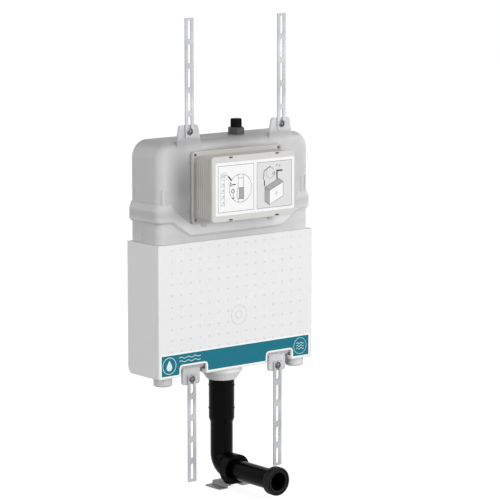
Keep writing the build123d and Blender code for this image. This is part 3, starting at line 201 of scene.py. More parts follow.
class Graph(Nodes):
    """A material's nodes, with short calls for what the finishes share."""

    def __init__(self, name: str) -> None:
        """Start a material whose shader is joined to its output.

        Args:
            name: the material's name.
        """
        self.material = bpy.data.materials.new(name)
        self.material.use_nodes = True
        super().__init__(self.material.node_tree)
        self.shader = self.add("ShaderNodeBsdfPrincipled")
        self.add("ShaderNodeOutputMaterial", {"Surface": self.shader.outputs["BSDF"]})
        self.place = self.add("ShaderNodeTexCoord").outputs["Object"]

    def wear(self, **inputs: object) -> bpy.types.Material:
        """Link or set the shader's inputs, named with underscores, and give the material."""
        self.plug(self.shader, {key.replace("_", " "): value for key, value in inputs.items()})
        return self.material

    def noise(self, scale: float | Place, detail: float) -> Socket:
        """Add a noise pattern.

        Args:
            scale: blotches per metre, all ways alike or along each axis.
            detail: finer layers on top.

        Returns:
            The pattern, from 0 to 1.
        """
        where = self.place
        if isinstance(scale, tuple):
            where = self.add("ShaderNodeMapping", {"Vector": where, "Scale": scale}).outputs[0]
            scale = 1.0
        inputs = {"Vector": where, "Scale": scale, "Detail": detail}
        return self.add("ShaderNodeTexNoise", inputs).outputs["Fac"]

    def cells(self, size: float, feature: str, output: str) -> Socket:
        """Give one output of a cell pattern, whose cells are so wide in metres."""
        inputs = {"Vector": self.place, "Scale": 1 / size}
        return self.add("ShaderNodeTexVoronoi", inputs, feature=feature).outputs[output]

    def channels(self, colour: Socket) -> Sequence[Socket]:
        """Split a colour into its red, green and blue."""
        return tuple(self.add("ShaderNodeSeparateColor", {"Color": colour}).outputs)

    def span(
        self,
        value: Socket,
        low: float,
        high: float,
        start: float = 0.3,
        end: float = 0.7,
        ease: str = "LINEAR",
    ) -> Socket:
        """Spread a value over a new range.

        Args:
            value: the value to spread.
            low: the result at start.
            high: the result at end.
            start: the value that gives low.
            end: the value that gives high.
            ease: how it goes from one to the other.

        Returns:
            The spread value.
        """
        inputs = {
            "Value": value,
            "From Min": start,
            "From Max": end,
            "To Min": low,
            "To Max": high,
        }
        return self.add("ShaderNodeMapRange", inputs, interpolation_type=ease).outputs["Result"]

    def profile(self, value: Socket, stops: Sequence[Spot]) -> Socket:
        """Give a tone that follows a place through some stops.

        Args:
            value: the place along an axis, in metres.
            stops: places in rising order, each with its tone, up to 2.

        Returns:
            The tone, halved so that a ramp can hold it.
        """
        low, high = stops[0][0], stops[-1][0]
        ramp = self.add("ShaderNodeValToRGB", {"Fac": self.span(value, 0.0, 1.0, low, high)})
        ramp.color_ramp.interpolation = "B_SPLINE"
        elements = ramp.color_ramp.elements
        for place, tone in stops[1:-1]:
            elements.new((place - low) / (high - low)).color = opaque((tone / 2,) * 3)
        elements[0].color = opaque((stops[0][1] / 2,) * 3)
        elements[-1].color = opaque((stops[-1][1] / 2,) * 3)
        return ramp.outputs["Color"]

    def pocket(self, middle: Place, reach: Place) -> Socket:
        """Mark a soft round place.

        Args:
            middle: its middle.
            reach: how far it reaches along each axis.

        Returns:
            The mark: 1 in the middle, 0 outside.
        """
        inputs = {
            "Vector": self.place,
            "Scale": [1 / size for size in reach],
            "Location": [-at / size for at, size in zip(middle, reach)],
        }
        near = self.add("ShaderNodeMapping", inputs).outputs["Vector"]
        ball = self.add("ShaderNodeTexGradient", {"Vector": near}, gradient_type="SPHERICAL")
        return ball.outputs["Fac"]

    def times(self, first: Socket, second: Socket, factor: float = 1.0) -> Socket:
        """Multiply two colours or tones, and scale the result.

        Args:
            first: one of them.
            second: the other.
            factor: what the result is scaled by.

        Returns:
            The product.
        """
        both = self.add("ShaderNodeVectorMath", {0: first, 1: second}, operation="MULTIPLY")
        inputs = {0: both.outputs["Vector"], "Scale": factor}
        return self.add("ShaderNodeVectorMath", inputs, operation="SCALE").outputs["Vector"]

    def tones(self, pattern: Socket, colour: Colour, low: float, high: float) -> Socket:
        """Vary a colour's brightness by a pattern.

        Args:
            pattern: the pattern, from 0 to 1.
            colour: the colour to vary.
            low: its brightness where the pattern is 0; 1 keeps the colour.
            high: its brightness where the pattern is 1.

        Returns:
            The varied colour.
        """
        ends = [opaque(tuple(part * level for part in colour)) for level in (low, high)]
        inputs = {0: pattern, 6: ends[0], 7: ends[1]}
        return self.add("ShaderNodeMix", inputs, data_type="RGBA").outputs[2]

    def raise_by(
        self, height: Socket, distance: float, strength: float, under: Socket | None = None
    ) -> Socket:
        """Bump the surface by a pattern.

        Args:
            height: the pattern.
            distance: its depth in metres.
            strength: how much of it shows.
            under: another bump's normal that this one lies on.

        Returns:
            The bumped normal.
        """
        inputs = {"Height": height, "Distance": distance, "Strength": strength}
        if under is not None:
            inputs["Normal"] = under
        return self.add("ShaderNodeBump", inputs).outputs["Normal"]

    def soft_edges(self, radius: float) -> Socket:
        """Round the shading of sharp edges to a radius in metres."""
        node = self.add("ShaderNodeBevel", {"Radius": radius}, samples=EDGE_SAMPLES)
        return node.outputs["Normal"]


@dataclass(frozen=True)
class Finish:
    """What every finish has: the name of its slot or print, and its colour."""

    name: str
    colour: Colour

    def make(self) -> bpy.types.Material:
        """Make the material."""
        raise NotImplementedError(self.name)


@dataclass(frozen=True)
class MouldedPlastic(Finish):
    """Moulded plastic with a slight drift of colour, a fine grain and soft gloss."""

    roughness: float = 0.42
    roughness_drift: float = 0.04
    drift: float = 0.05
    drift_scale: float = 16.0
    drift_detail: float = 4.0
    grain_scale: float = 1400.0
    grain_detail: float = 2.0
    grain_depth: float = 0.04 * MM
    grain_strength: float = 0.6
    gloss: float = 0.4
    milk: float = 0.0
    milk_depth: float = 6 * MM
    milk_tint: Colour = (1.0, 0.95, 0.9)
    edge: float = 0.5 * MM

    def make(self) -> bpy.types.Material:
        """Make the material.

        Returns:
            The material.
        """
        graph = Graph(self.name)
        blotch = graph.noise(self.drift_scale, self.drift_detail)
        grain = graph.noise(self.grain_scale, self.grain_detail)
        edges = graph.soft_edges(self.edge)
        if self.milk > 0:
            graph.wear(
                Subsurface_Weight=self.milk,
                Subsurface_Radius=self.milk_tint,
                Subsurface_Scale=self.milk_depth,
            )
        return graph.wear(
            Base_Color=graph.tones(
                graph.span(blotch, 0.0, 1.0), self.colour, 1 - self.drift, 1 + self.drift
            ),
            Roughness=graph.span(
                blotch, self.roughness - self.roughness_drift, self.roughness + self.roughness_drift
            ),
            Normal=graph.raise_by(grain, self.grain_depth, self.grain_strength, edges),
            Specular_IOR_Level=self.gloss,
        )


@dataclass(frozen=True)
class FoamBeads(Finish):
    """Moulded foam: packed beads with fine dark seams and a chalky surface.

    Seams and slopes are shares of a bead's width.
    """

    bead: float = 4.2 * MM
    seam: float = 0.09
    slope: float = 0.25
    seam_depth: float = 0.12 * MM
    seam_strength: float = 0.5
    seam_tone: float = 0.955
    mottle: float = 0.35
    roughness: float = 0.75
    gloss: float = 0.25
    edge: float = 1.2 * MM

    def make(self) -> bpy.types.Material:
        """Make the material.

        Returns:
            The material.
        """
        graph = Graph(self.name)
        seams = graph.cells(self.bead, "DISTANCE_TO_EDGE", "Distance")
        bead, _, _ = graph.channels(graph.cells(self.bead, "F1", "Color"))
        pattern = graph.maths(
            "ADD",
            graph.span(bead, 0.0, self.mottle, 0.0, 1.0),
            graph.span(seams, 1.0, 0.0, 0.0, self.seam),
        )
        relief = graph.span(seams, 0.0, 1.0, 0.0, self.slope)
        edges = graph.soft_edges(self.edge)
        return graph.wear(
            Base_Color=graph.tones(pattern, self.colour, 1.0, self.seam_tone),
            Normal=graph.raise_by(relief, self.seam_depth, self.seam_strength, edges),
            Roughness=self.roughness,
            Specular_IOR_Level=self.gloss,
        )


@dataclass(frozen=True)
class PaintedLight:
    """A soft patch of painted shade on the tank's wall.

    A negative depth makes it a patch of painted light instead.
    """

    middle: Place
    reach: Place
    depth: float


@dataclass(frozen=True)
class MilkyTank(Finish):
    """Blow-moulded, half-clear plastic: cloudy patches, low waves and a waxy gloss.

    Its colour carries painted light and shade: lighter at its ends, darker through its middle and
    on its top, with painted shadows round the inspection box.
    """

    clearness: float = 0.9
    depth: float = 16 * MM
    gloss: float = 0.35
    roughness: Spot = (0.38, 0.52)
    cloud: float = 0.06
    cloud_scale: float = 9.0
    cloud_share: float = 0.55
    drawn_scale: Place = (38.0, 38.0, 5.0)
    drawn_share: float = 0.45
    detail: float = 2.0
    wave_depth: float = 0.6 * MM
    wave_strength: float = 0.35
    grain_scale: float = 700.0
    grain_depth: float = 0.03 * MM
    grain_strength: float = 0.5
    edge: float = 2.5 * MM
    # Painted light and shade across the wall, from left to right: lighter at both ends, darker
    # through the middle.
    across: tuple[Spot, ...] = (
        (-0.215, 1.08),
        (-0.200, 0.94),
        (-0.170, 0.90),
        (-0.120, 0.94),
        (0.000, 0.90),
        (0.060, 0.92),
        (0.120, 1.06),
        (0.215, 1.22),
    )
    # Painted light and shade upwards: a darker strip near 0.208 m, and painted shade on the top
    # face at 0.3647 m.
    upwards: tuple[Spot, ...] = (
        (-0.210, 0.92),
        (0.100, 1.06),
        (0.178, 1.04),
        (0.193, 1.0),
        (0.208, 0.72),
        (0.224, 0.93),
        (0.240, 1.0),
        (0.325, 1.0),
        (0.350, 0.98),
        (0.3647, 0.49),
        (0.376, 0.95),
        (0.430, 0.79),
    )
    # Soft patches of painted shade round the inspection box and on the top; the negative one paints
    # light under the box, where the box casts its shadow.
    painted_patches: tuple[PaintedLight, ...] = (
        # Painted shadow left of the inspection box.
        PaintedLight((-0.150, -0.100, 0.270), (0.048, 0.130, 0.122), 0.49),
        # Painted shade over the top middle, above the inspection box.
        PaintedLight((0.000, -0.100, 0.325), (0.140, 0.130, 0.050), 0.45),
        # Faint painted shade below the inspection box.
        PaintedLight((0.030, -0.100, 0.150), (0.200, 0.130, 0.060), 0.04),
        # Painted light under the inspection box, against its cast shadow.
        PaintedLight((0.000, -0.105, 0.178), (0.340, 0.100, 0.022), -0.18),
        # Painted shade on the middle of the top face.
        PaintedLight((0.000, -0.060, 0.3647), (0.160, 0.100, 0.014), 0.30),
    )

    def painted_light_and_shade(self, graph: Graph) -> Socket:
        """Work out the painted light and shade of each place of the wall.

        Args:
            graph: the tank's material.

        Returns:
            The tone, where 1 keeps the colour.
        """
        axes = graph.add("ShaderNodeSeparateXYZ", {"Vector": graph.place}).outputs
        halves = (graph.profile(axes["X"], self.across), graph.profile(axes["Z"], self.upwards))
        # Each profile comes halved.
        tone = graph.times(*halves, 2.0 * 2.0)
        for painted_patch in self.painted_patches:
            mark = graph.pocket(painted_patch.middle, painted_patch.reach)
            fade = graph.span(mark, 1.0, 1.0 - painted_patch.depth, 0.0, 1.0, "SMOOTHSTEP")
            tone = graph.times(tone, fade)
        return tone

    def make(self) -> bpy.types.Material:
        """Make the material.

        Returns:
            The material.
        """
        graph = Graph(self.name)
        clouds = graph.noise(self.cloud_scale, self.detail)
        drawn = graph.noise(self.drawn_scale, self.detail)
        patches = graph.maths(
            "MULTIPLY_ADD", drawn, self.drawn_share, graph.span(clouds, 0.0, self.cloud_share)
        )
        milk = graph.tones(patches, self.colour, 1 - self.cloud, 1 + self.cloud)
        edges = graph.soft_edges(self.edge)
        waves = graph.raise_by(clouds, self.wave_depth, self.wave_strength, edges)
        grain = graph.noise(self.grain_scale, self.detail)
        return graph.wear(
            # Painted light and shade are multiplied into the milky colour.
            Base_Color=graph.times(milk, self.painted_light_and_shade(graph)),
            Roughness=graph.span(drawn, *self.roughness),
            Normal=graph.raise_by(grain, self.grain_depth, self.grain_strength, waves),
            Specular_IOR_Level=self.gloss,
            Subsurface_Weight=self.clearness,
            Subsurface_Radius=WHITE,
            Subsurface_Scale=self.depth,
        )


@dataclass(frozen=True)
class ZincPlate(Finish):
    """Zinc-plated steel: crystal patches that differ in gloss, and fine drawn lines.

    Its band share paints uneven reflections into the colour: painted reflections that darken it by
    that share and lighten it by a third of that.
    """

    roughness: float = 0.5
    roughness_drift: float = 0.04
    metal: float = 0.6
    crystal: float = 3 * MM
    crystal_tone: float = 0.02
    band: float = 0.0
    painted_reflection_scale: Place = (9.0, 9.0, 14.0)
    painted_reflection_detail: float = 1.0
    line_scale: Place = (900.0, 900.0, 25.0)
    line_detail: float = 4.0
    line_depth: float = 0.01 * MM
    line_strength: float = 0.4
    edge: float = 0.4 * MM

    def make(self) -> bpy.types.Material:
        """Make the material.

        Returns:
            The material.
        """
        graph = Graph(self.name)
        red, green, _ = graph.channels(graph.cells(self.crystal, "F1", "Color"))
        grain = graph.tones(red, self.colour, 1 - self.crystal_tone, 1 + self.crystal_tone)
        lines = graph.noise(self.line_scale, self.line_detail)
        painted_reflections = graph.noise(self.painted_reflection_scale, self.painted_reflection_detail)
        edges = graph.soft_edges(self.edge)
        return graph.wear(
            # Painted reflection: soft bands of lighter and darker colour stand in for uneven
            # reflections.
            Base_Color=graph.times(grain, graph.span(painted_reflections, 1 - self.band, 1 + self.band / 3)),
            Roughness=graph.span(
                green,
                self.roughness - self.roughness_drift,
                self.roughness + self.roughness_drift,
                0.0,
                1.0,
            ),
            Normal=graph.raise_by(lines, self.line_depth, self.line_strength, edges),
            Metallic=self.metal,
        )


@dataclass(frozen=True)
class FineFinish(Finish):
    """A finish whose colour, gloss and relief follow one fine pattern.

    Tones are shares of the colour, and depth is the relief's in metres. The relief is the
    same pattern, unless it has a finer grain of its own.
    """

    scale: float
    detail: float
    tone: Spot
    roughness: Spot
    depth: float
    strength: float
    metal: float = 0.0
    gloss: float = 0.5
    grain_scale: float = 0.0
    grain_detail: float = 2.0

    def make(self) -> bpy.types.Material:
        """Make the material.

        Returns:
            The material.
        """
        graph = Graph(self.name)
        pattern = graph.noise(self.scale, self.detail)
        relief = pattern
        if self.grain_scale > 0:
            relief = graph.noise(self.grain_scale, self.grain_detail)
        return graph.wear(
            Base_Color=graph.tones(graph.span(pattern, 0.0, 1.0), self.colour, *self.tone),
            Roughness=graph.span(pattern, *self.roughness),
            Normal=graph.raise_by(relief, self.depth, self.strength),
            Metallic=self.metal,
            Specular_IOR_Level=self.gloss,
        )


@dataclass(frozen=True)
class BrightSteel(FineFinish):
    """Bright plated screws, with the marks that turning leaves."""

    scale: float = 900.0
    detail: float = 4.0
    tone: Spot = (0.9, 1.05)
    roughness: Spot = (0.11, 0.24)
    depth: float = 0.01 * MM
    strength: float = 0.3
    metal: float = 1.0


@dataclass(frozen=True)
class SealRubber(FineFinish):
    """Matt rubber with a dusty bloom over a fine grain."""

    scale: float = 60.0
    detail: float = 6.0
    tone: Spot = (0.8, 1.5)
    roughness: Spot = (0.42, 0.56)
    depth: float = 0.04 * MM
    strength: float = 0.5
    gloss: float = 0.14
    grain_scale: float = 2200.0


@dataclass(frozen=True)
class PrintedFilm(FineFinish):
    """Ink or bare film on a label: even colour, and a soft gloss with faint ripples."""

    scale: float = 120.0
    detail: float = 2.0
    tone: Spot = (0.985, 1.01)
    roughness: Spot = (0.34, 0.43)
    depth: float = 0.03 * MM
    strength: float = 0.4
    gloss: float = 0.15


class Ink(Enum):
    """Colours that the pieces use besides their record's own finish: printed inks, a darker foam,
    and painted shade in the cover's catch slots.
    """

    FIELD = PrintedFilm("teal_field", (0.007, 0.163, 0.226))
    MARK = PrintedFilm("pale_mark", (0.70, 0.85, 0.87))
    LINE = PrintedFilm("drawing_line", (0.035, 0.035, 0.037))
    SHADE = PrintedFilm("drawing_shade", (0.37, 0.37, 0.375))
    PANEL = PrintedFilm("grey_panel", (0.70, 0.70, 0.70))
    PIT = FoamBeads("foam_pit", (0.74, 0.74, 0.75))
    # Painted shade: a dark insert sunk in each catch slot of the cover, and a dark ring round it
    # for the shade of a recess.
    GAP_SHADE = MouldedPlastic("painted_shade_gap", (0.035, 0.034, 0.032), gloss=0.1)
    NOTCH_SHADE = MouldedPlastic("painted_shade_notch", (0.17, 0.165, 0.155), gloss=0.1)


SLOT_FINISHES = (
    MilkyTank("tank_plastic", (0.665, 0.665, 0.675)),
    FoamBeads("jacket_foam", (0.825, 0.825, 0.835)),
    PrintedFilm("jacket_print", (0.94, 0.95, 0.95)),
    SealRubber("seal_rubber", (0.0035, 0.0035, 0.0038)),
    MouldedPlastic("box_plastic", (0.545, 0.53, 0.505), drift=0.03, edge=0.1 * MM),
    MouldedPlastic("cover_plastic", (0.60, 0.595, 0.575), drift=0.02),
    PrintedFilm("label_print", (0.87, 0.87, 0.87)),
    # The straps' band share paints uneven reflections into their colour.
    ZincPlate("galvanised_steel", (0.475, 0.485, 0.505), roughness=0.52, metal=0.35, band=0.3),
    BrightSteel("screw_steel", (0.14, 0.14, 0.15)),
    MouldedPlastic("valve_plastic", (0.84, 0.84, 0.835), milk=0.1),
    MouldedPlastic("nut_plastic", (0.073, 0.072, 0.067), roughness=0.5, gloss=0.2),
    MouldedPlastic("cap_plastic", (0.003, 0.003, 0.003), gloss=0.05),
    MouldedPlastic("lever_plastic", (0.022, 0.12, 0.34), roughness=0.35),
    MouldedPlastic(
        "pipe_plastic",
        (0.0018, 0.0018, 0.0020),
        roughness=0.26,
        drift=0.2,
        drift_scale=40.0,
        grain_depth=0.01 * MM,
        gloss=0.05,
    ),
    ZincPlate("bracket_steel", (0.23, 0.23, 0.235)),
)


class Pick(Enum):
    """What a selection in edit mode is made of."""

    CORNERS = ("VERT", "verts")
    EDGES = ("EDGE", "edges")
    FACES = ("FACE", "faces")


@dataclass(frozen=True)
class Layer:
    """The Y of a flat piece's rear and front faces."""

    rear: float
    front: float


class Bench:
    """The modelling moves that the pieces share, as they are made by hand."""

    @staticmethod
    def clear() -> None:
        """Deselect everything."""
        bpy.ops.object.select_all(action="DESELECT")

    @staticmethod
    def take(*pieces: Piece) -> Piece:
        """Select some pieces and make the first one active.

        Args:
            *pieces: the pieces to select.

        Returns:
            The first of them.
        """
        Bench.clear()
        for piece in pieces:
            piece.select_set(True)
        bpy.context.view_layer.objects.active = pieces[0]
        return pieces[0]

    @staticmethod
    @contextmanager
    def editing(piece: Piece) -> Iterator[None]:
        """Hold a piece in edit mode for a while.

        Args:
            piece: the piece to edit.

        Returns:
            A context that goes back to object mode at its end.
        """
        Bench.take(piece)
        bpy.ops.object.mode_set(mode="EDIT")
        yield
        bpy.ops.object.mode_set(mode="OBJECT")

    @staticmethod
    def select(piece: Piece, pick: Pick, test: Callable[[object], bool]) -> None:
        """In edit mode, select what passes a test.

        Args:
            piece: the piece in edit mode.
            pick: corners, edges or faces.
            test: true for what is to be selected.
        """
        mode, group = pick.value
        bpy.ops.mesh.select_mode(type=mode)
        bpy.ops.mesh.select_all(action="DESELECT")
        mesh = bmesh.from_edit_mesh(piece.data)
        for item in getattr(mesh, group):
            if test(item):
                item.select_set(True)
        mesh.select_flush_mode()
        bmesh.update_edit_mesh(piece.data)

    @staticmethod
    def step_in(inset: float, push: float) -> None:
        """Inset the selected faces and push what is inside them towards the wall."""
        bpy.ops.mesh.inset(thickness=inset)
        bpy.ops.transform.translate(value=(0, push, 0))

    @staticmethod
    def pull(x: float, y: float, z: float) -> None:
        """Extrude the selected faces along a way."""
        bpy.ops.mesh.extrude_region_move(TRANSFORM_OT_translate={"value": (x, y, z)})

    @staticmethod
    def settle(name: str) -> Piece:
        """Name the piece just added and put its place into its mesh.

        Args:
            name: the piece's name.

        Returns:
            The piece.
        """
        piece = bpy.context.active_object
        piece.name = piece.data.name = name
        bpy.ops.object.transform_apply(location=True, rotation=True, scale=True)
        return piece

    @staticmethod
    def slab(name: str, middle: Sequence[float], size: Sequence[float], turn: float = 0) -> Piece:
        """Add a block round a place.

        Args:
            name: the piece's name.
            middle: its middle.
            size: how far it goes along each of its axes.
            turn: how far it is turned about the way to the front.

        Returns:
            The block.
        """
        Bench.clear()
        bpy.ops.mesh.primitive_cube_add(size=1, location=middle, rotation=(0, turn, 0))
        bpy.context.active_object.scale = size
        return Bench.settle(name)

    @staticmethod
    def block(name: str, low: Spot, high: Spot, layer: Layer) -> Piece:
        """Add an upright block between two corners.

        Args:
            name: the piece's name.
            low: X and Z of its lowest corner.
            high: X and Z of its highest corner.
            layer: its rear and front.

        Returns:
            The block.
        """
        start = Vector((low[0], layer.front, low[1]))
        end = Vector((high[0], layer.rear, high[1]))
        return Bench.slab(name, (start + end) / 2, end - start)

    @staticmethod
    def disc(name: str, middle: Spot, radius: float, layer: Layer, sides: int = 48) -> Piece:
        """Add a disc that faces the front.

        Args:
            name: the piece's name.
            middle: X and Z of its middle.
            radius: its radius.
            layer: its rear and front.
            sides: sides of its rim.

        Returns:
            The disc.
        """
        Bench.clear()
        bpy.ops.mesh.primitive_cylinder_add(
            vertices=sides,
            radius=radius,
            depth=layer.rear - layer.front,
            location=(middle[0], (layer.rear + layer.front) / 2, middle[1]),
            rotation=(QUARTER, 0, 0),
        )
        return Bench.settle(name)

    @staticmethod
    def ring(name: str, middle: Spot, outer: float, width: float, layer: Layer) -> Piece:
        """Add a flat ring that faces the front.

        Args:
            name: the piece's name.
            middle: X and Z of its middle.
            outer: its outer radius.
            width: how wide its band is.
            layer: its rear and front.

        Returns:
            The ring.
        """
        piece = Bench.disc(name, middle, outer, layer)
        with Bench.editing(piece):
            Bench.select(piece, Pick.FACES, lambda face: abs(face.normal.y) > FACING)
            bpy.ops.mesh.inset(thickness=width)
            bpy.ops.mesh.bridge_edge_loops()
        return piece

    @staticmethod
    def bevel_rim(piece: Piece, offset: float, segments: int, profile: float = 0.5) -> None:
        """Bevel the rim of a piece's front face.

        Args:
            piece: the piece.
            offset: how wide the bevel is.
            segments: its facets.
            profile: its fullness, where 0.5 is round.
        """
        rim = min(corner.co.y for corner in piece.data.vertices) + TOUCH
        with Bench.editing(piece):
            Bench.select(piece, Pick.EDGES, lambda edge: all(v.co.y < rim for v in edge.verts))
            bpy.ops.mesh.bevel(offset=offset, segments=segments, affect="EDGES", profile=profile)

    @staticmethod
    def round_corners(piece: Piece, radius: float, segments: int = 6) -> None:
        """Round the edges of a plate that run from its rear to its front.

        Args:
            piece: a plate that faces the front.
            radius: the corner radius.
            segments: facets in each corner.
        """
        with Bench.editing(piece):
            Bench.select(
                piece,
                Pick.EDGES,
                lambda edge: abs((edge.verts[0].co - edge.verts[1].co).normalized().y) > FACING,
            )
            bpy.ops.mesh.bevel(offset=radius, segments=segments, affect="EDGES")

    @staticmethod
    def plate(name: str, low: Spot, high: Spot, layer: Layer, corner: float) -> Piece:
        """Add a plate that faces the front, with rounded corners.

        Args:
            name: the piece's name.
            low: X and Z of its lowest corner.
            high: X and Z of its highest corner.
            layer: its rear and front.
            corner: the corner radius.

        Returns:
            The plate.
        """
        piece = Bench.block(name, low, high, layer)
        Bench.round_corners(piece, corner)
        return piece

    @staticmethod
    def bar(name: str, start: Spot, end: Spot, width: float, layer: Layer) -> Piece:
        """Add a line with round ends between two points.

        Args:
            name: the piece's name.
            start: X and Z of one end.
            end: X and Z of the other end.
            width: the line's width.
            layer: its rear and front.

        Returns:
            The line.
        """
        along = Vector(end) - Vector(start)
        piece = Bench.slab(
            name,
            ((start[0] + end[0]) / 2, (layer.rear + layer.front) / 2, (start[1] + end[1]) / 2),
            (along.length + width, layer.rear - layer.front, width),
            -math.atan2(along.y, along.x),
        )
        Bench.round_corners(piece, width * LINE_ROUNDING, 2)
        return piece

    @staticmethod
    def drop(name: str, middle: Spot, radius: float, layer: Layer) -> Piece:
        """Add a drop that faces the front: a disc pulled up to a point.

        Args:
            name: the piece's name.
            middle: X and Z of the middle of its round part.
            radius: the radius of its round part.
            layer: its rear and front.

        Returns:
            The drop.
        """
        piece = Bench.disc(name, middle, radius, layer)
        top = middle[1] + radius - TOUCH
        with Bench.editing(piece):
            Bench.select(piece, Pick.CORNERS, lambda corner: corner.co.z > top)
            bpy.ops.transform.translate(
                value=(0, 0, radius * DROP_RISE),
                use_proportional_edit=True,
                proportional_edit_falloff="SHARP",
                proportional_size=radius * DROP_REACH,
            )
        return piece

    @staticmethod
    def leaning(name: str, corner: Spot, first: Spot, second: Spot, layer: Layer) -> Piece:
        """Add a plate with leaning sides, by moving two sides of a small square.

        Args:
            name: the piece's name.
            corner: X and Z of one corner.
            first: the way along one side from there, not level with the other.
            second: the way along the other side, not level.
            layer: its rear and front.

        Returns:
            The plate.
        """
        side = MM
        x, z = corner
        lean = second[0] / second[1]
        piece = Bench.block(name, corner, (x + side, z + side), layer)
        with Bench.editing(piece):
            Bench.select(piece, Pick.CORNERS, lambda vertex: vertex.co.z > z + side / 2)
            bpy.ops.transform.translate(value=(second[0], 0, second[1] - side))
            Bench.select(
                piece,
                Pick.CORNERS,
                lambda vertex: vertex.co.x > x + (vertex.co.z - z) * lean + side / 2,
            )
            bpy.ops.transform.translate(value=(first[0] - side, 0, first[1]))
            bpy.ops.mesh.select_all(action="SELECT")
            bpy.ops.mesh.normals_make_consistent(inside=False)
        return piece

    @staticmethod
    def ribbon(name: str, points: Sequence[Spot], width: float, layer: Layer) -> Piece:
        """Draw a bending line, by extruding its end from point to point.

        Args:
            name: the piece's name.
            points: X and Z along the line, from left to right.
            width: the line's width, measured upright.
            layer: its rear and front.

        Returns:
            The line.
        """
        (x, z), (next_x, next_z) = points[:2]
        piece = Bench.block(name, (x, z - width / 2), (next_x, z + width / 2), layer)
        with Bench.editing(piece):
            Bench.select(piece, Pick.FACES, lambda face: face.normal.x > FACING)
            bpy.ops.transform.translate(value=(0, 0, next_z - z))
            for here, there in zip(points[1:], points[2:]):
                Bench.pull(there[0] - here[0], 0, there[1] - here[1])
        return piece

    @staticmethod
    def copy(piece: Piece, move: Sequence[float]) -> Piece:
        """Copy a piece, with a mesh of its own, and move the copy.

        Args:
            piece: the piece to copy.
            move: how far the copy goes.

        Returns:
            The copy.
        """
        Bench.take(piece)
        bpy.ops.object.duplicate(linked=False)
        bpy.ops.transform.translate(value=move)
        bpy.ops.object.transform_apply(location=True, rotation=True, scale=True)
        return bpy.context.active_object

    @staticmethod
    def repeat(piece: Piece, counts: tuple[int, int], steps: Spot) -> None:
        """Repeat a piece in columns to the right and rows upwards.

        Args:
            piece: the piece at the lowest left place.
            counts: how many columns and rows.
            steps: from one column, and one row, to the next.
        """
        Bench.take(piece)
        for count, step in ((counts[0], (steps[0], 0, 0)), (counts[1], (0, 0, steps[1]))):
            modifier = piece.modifiers.new("repeat", "ARRAY")
            modifier.use_relative_offset = False
            modifier.use_constant_offset = True
            modifier.constant_offset_displace = step
            modifier.count = count
            bpy.ops.object.modifier_apply(modifier=modifier.name)

    @staticmethod
    def merge(name: str, pieces: Sequence[Piece]) -> Piece:
        """Join pieces into one.

        Args:
            name: the name of the result.
            pieces: what to join.

        Returns:
            The joined piece.
        """
        first = Bench.take(*pieces)
        if len(pieces) > 1:
            bpy.ops.object.join()
        first.name = first.data.name = name
        return first

    @staticmethod
    def combine(piece: Piece, other: Piece, how: str) -> None:
        """Unite a piece with another, or cut the other out of it, and use the other up.

        Args:
            piece: the piece that stays.
            other: the piece that is used up.
            how: UNION or DIFFERENCE.
        """
        Bench.take(piece)
        modifier = piece.modifiers.new("combine", "BOOLEAN")
        modifier.operation = how
        modifier.object = other
        modifier.solver = "EXACT"
        bpy.ops.object.modifier_apply(modifier=modifier.name)
        bpy.data.objects.remove(other)

    @staticmethod
    def smooth(piece: Piece, degrees: float = 35) -> None:
        """Shade a piece smooth across edges flatter than an angle."""
        Bench.take(piece)
        bpy.ops.object.shade_smooth_by_angle(angle=math.radians(degrees))


@dataclass
class Wardrobe:
    """The made materials, by record slot and by ink, and who wears them."""

    slots: dict[str, bpy.types.Material] = field(default_factory=dict)
    inks: dict[Ink, bpy.types.Material] = field(default_factory=dict)

    def sew(self) -> None:
        """Make every material once."""
        self.slots = {finish.name: finish.make() for finish in SLOT_FINISHES}
        self.inks = {ink: ink.value.make() for ink in Ink}

    def dress_nodes(self, frame: dict) -> None:
        """Put each model node into its slot's finish.
        """
        for entry in frame["record"]["subparts"]:
            piece = frame["nodes"][entry["node"]]
            piece.data.materials.clear()
            piece.data.materials.append(self.slots[entry["material_slot"]])

    def dress(self, piece: Piece, body: str, slot: str, ink: Ink | None = None) -> None:
        """Give a new piece its finish and the body that carries it.

        Args:
            piece: the new piece.
            body: the body that it moves with.
            slot: the record's slot it belongs to.
            ink: its colour from the inks, where it isn't the slot's own finish; some inks are
                painted shade.
        """
        piece.data.materials.clear()
        piece.data.materials.append(self.inks[ink] if ink else self.slots[slot])
        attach(piece, body)
        LOG.info("%s rides on %s, %d faces", piece.name, body, len(piece.data.polygons))


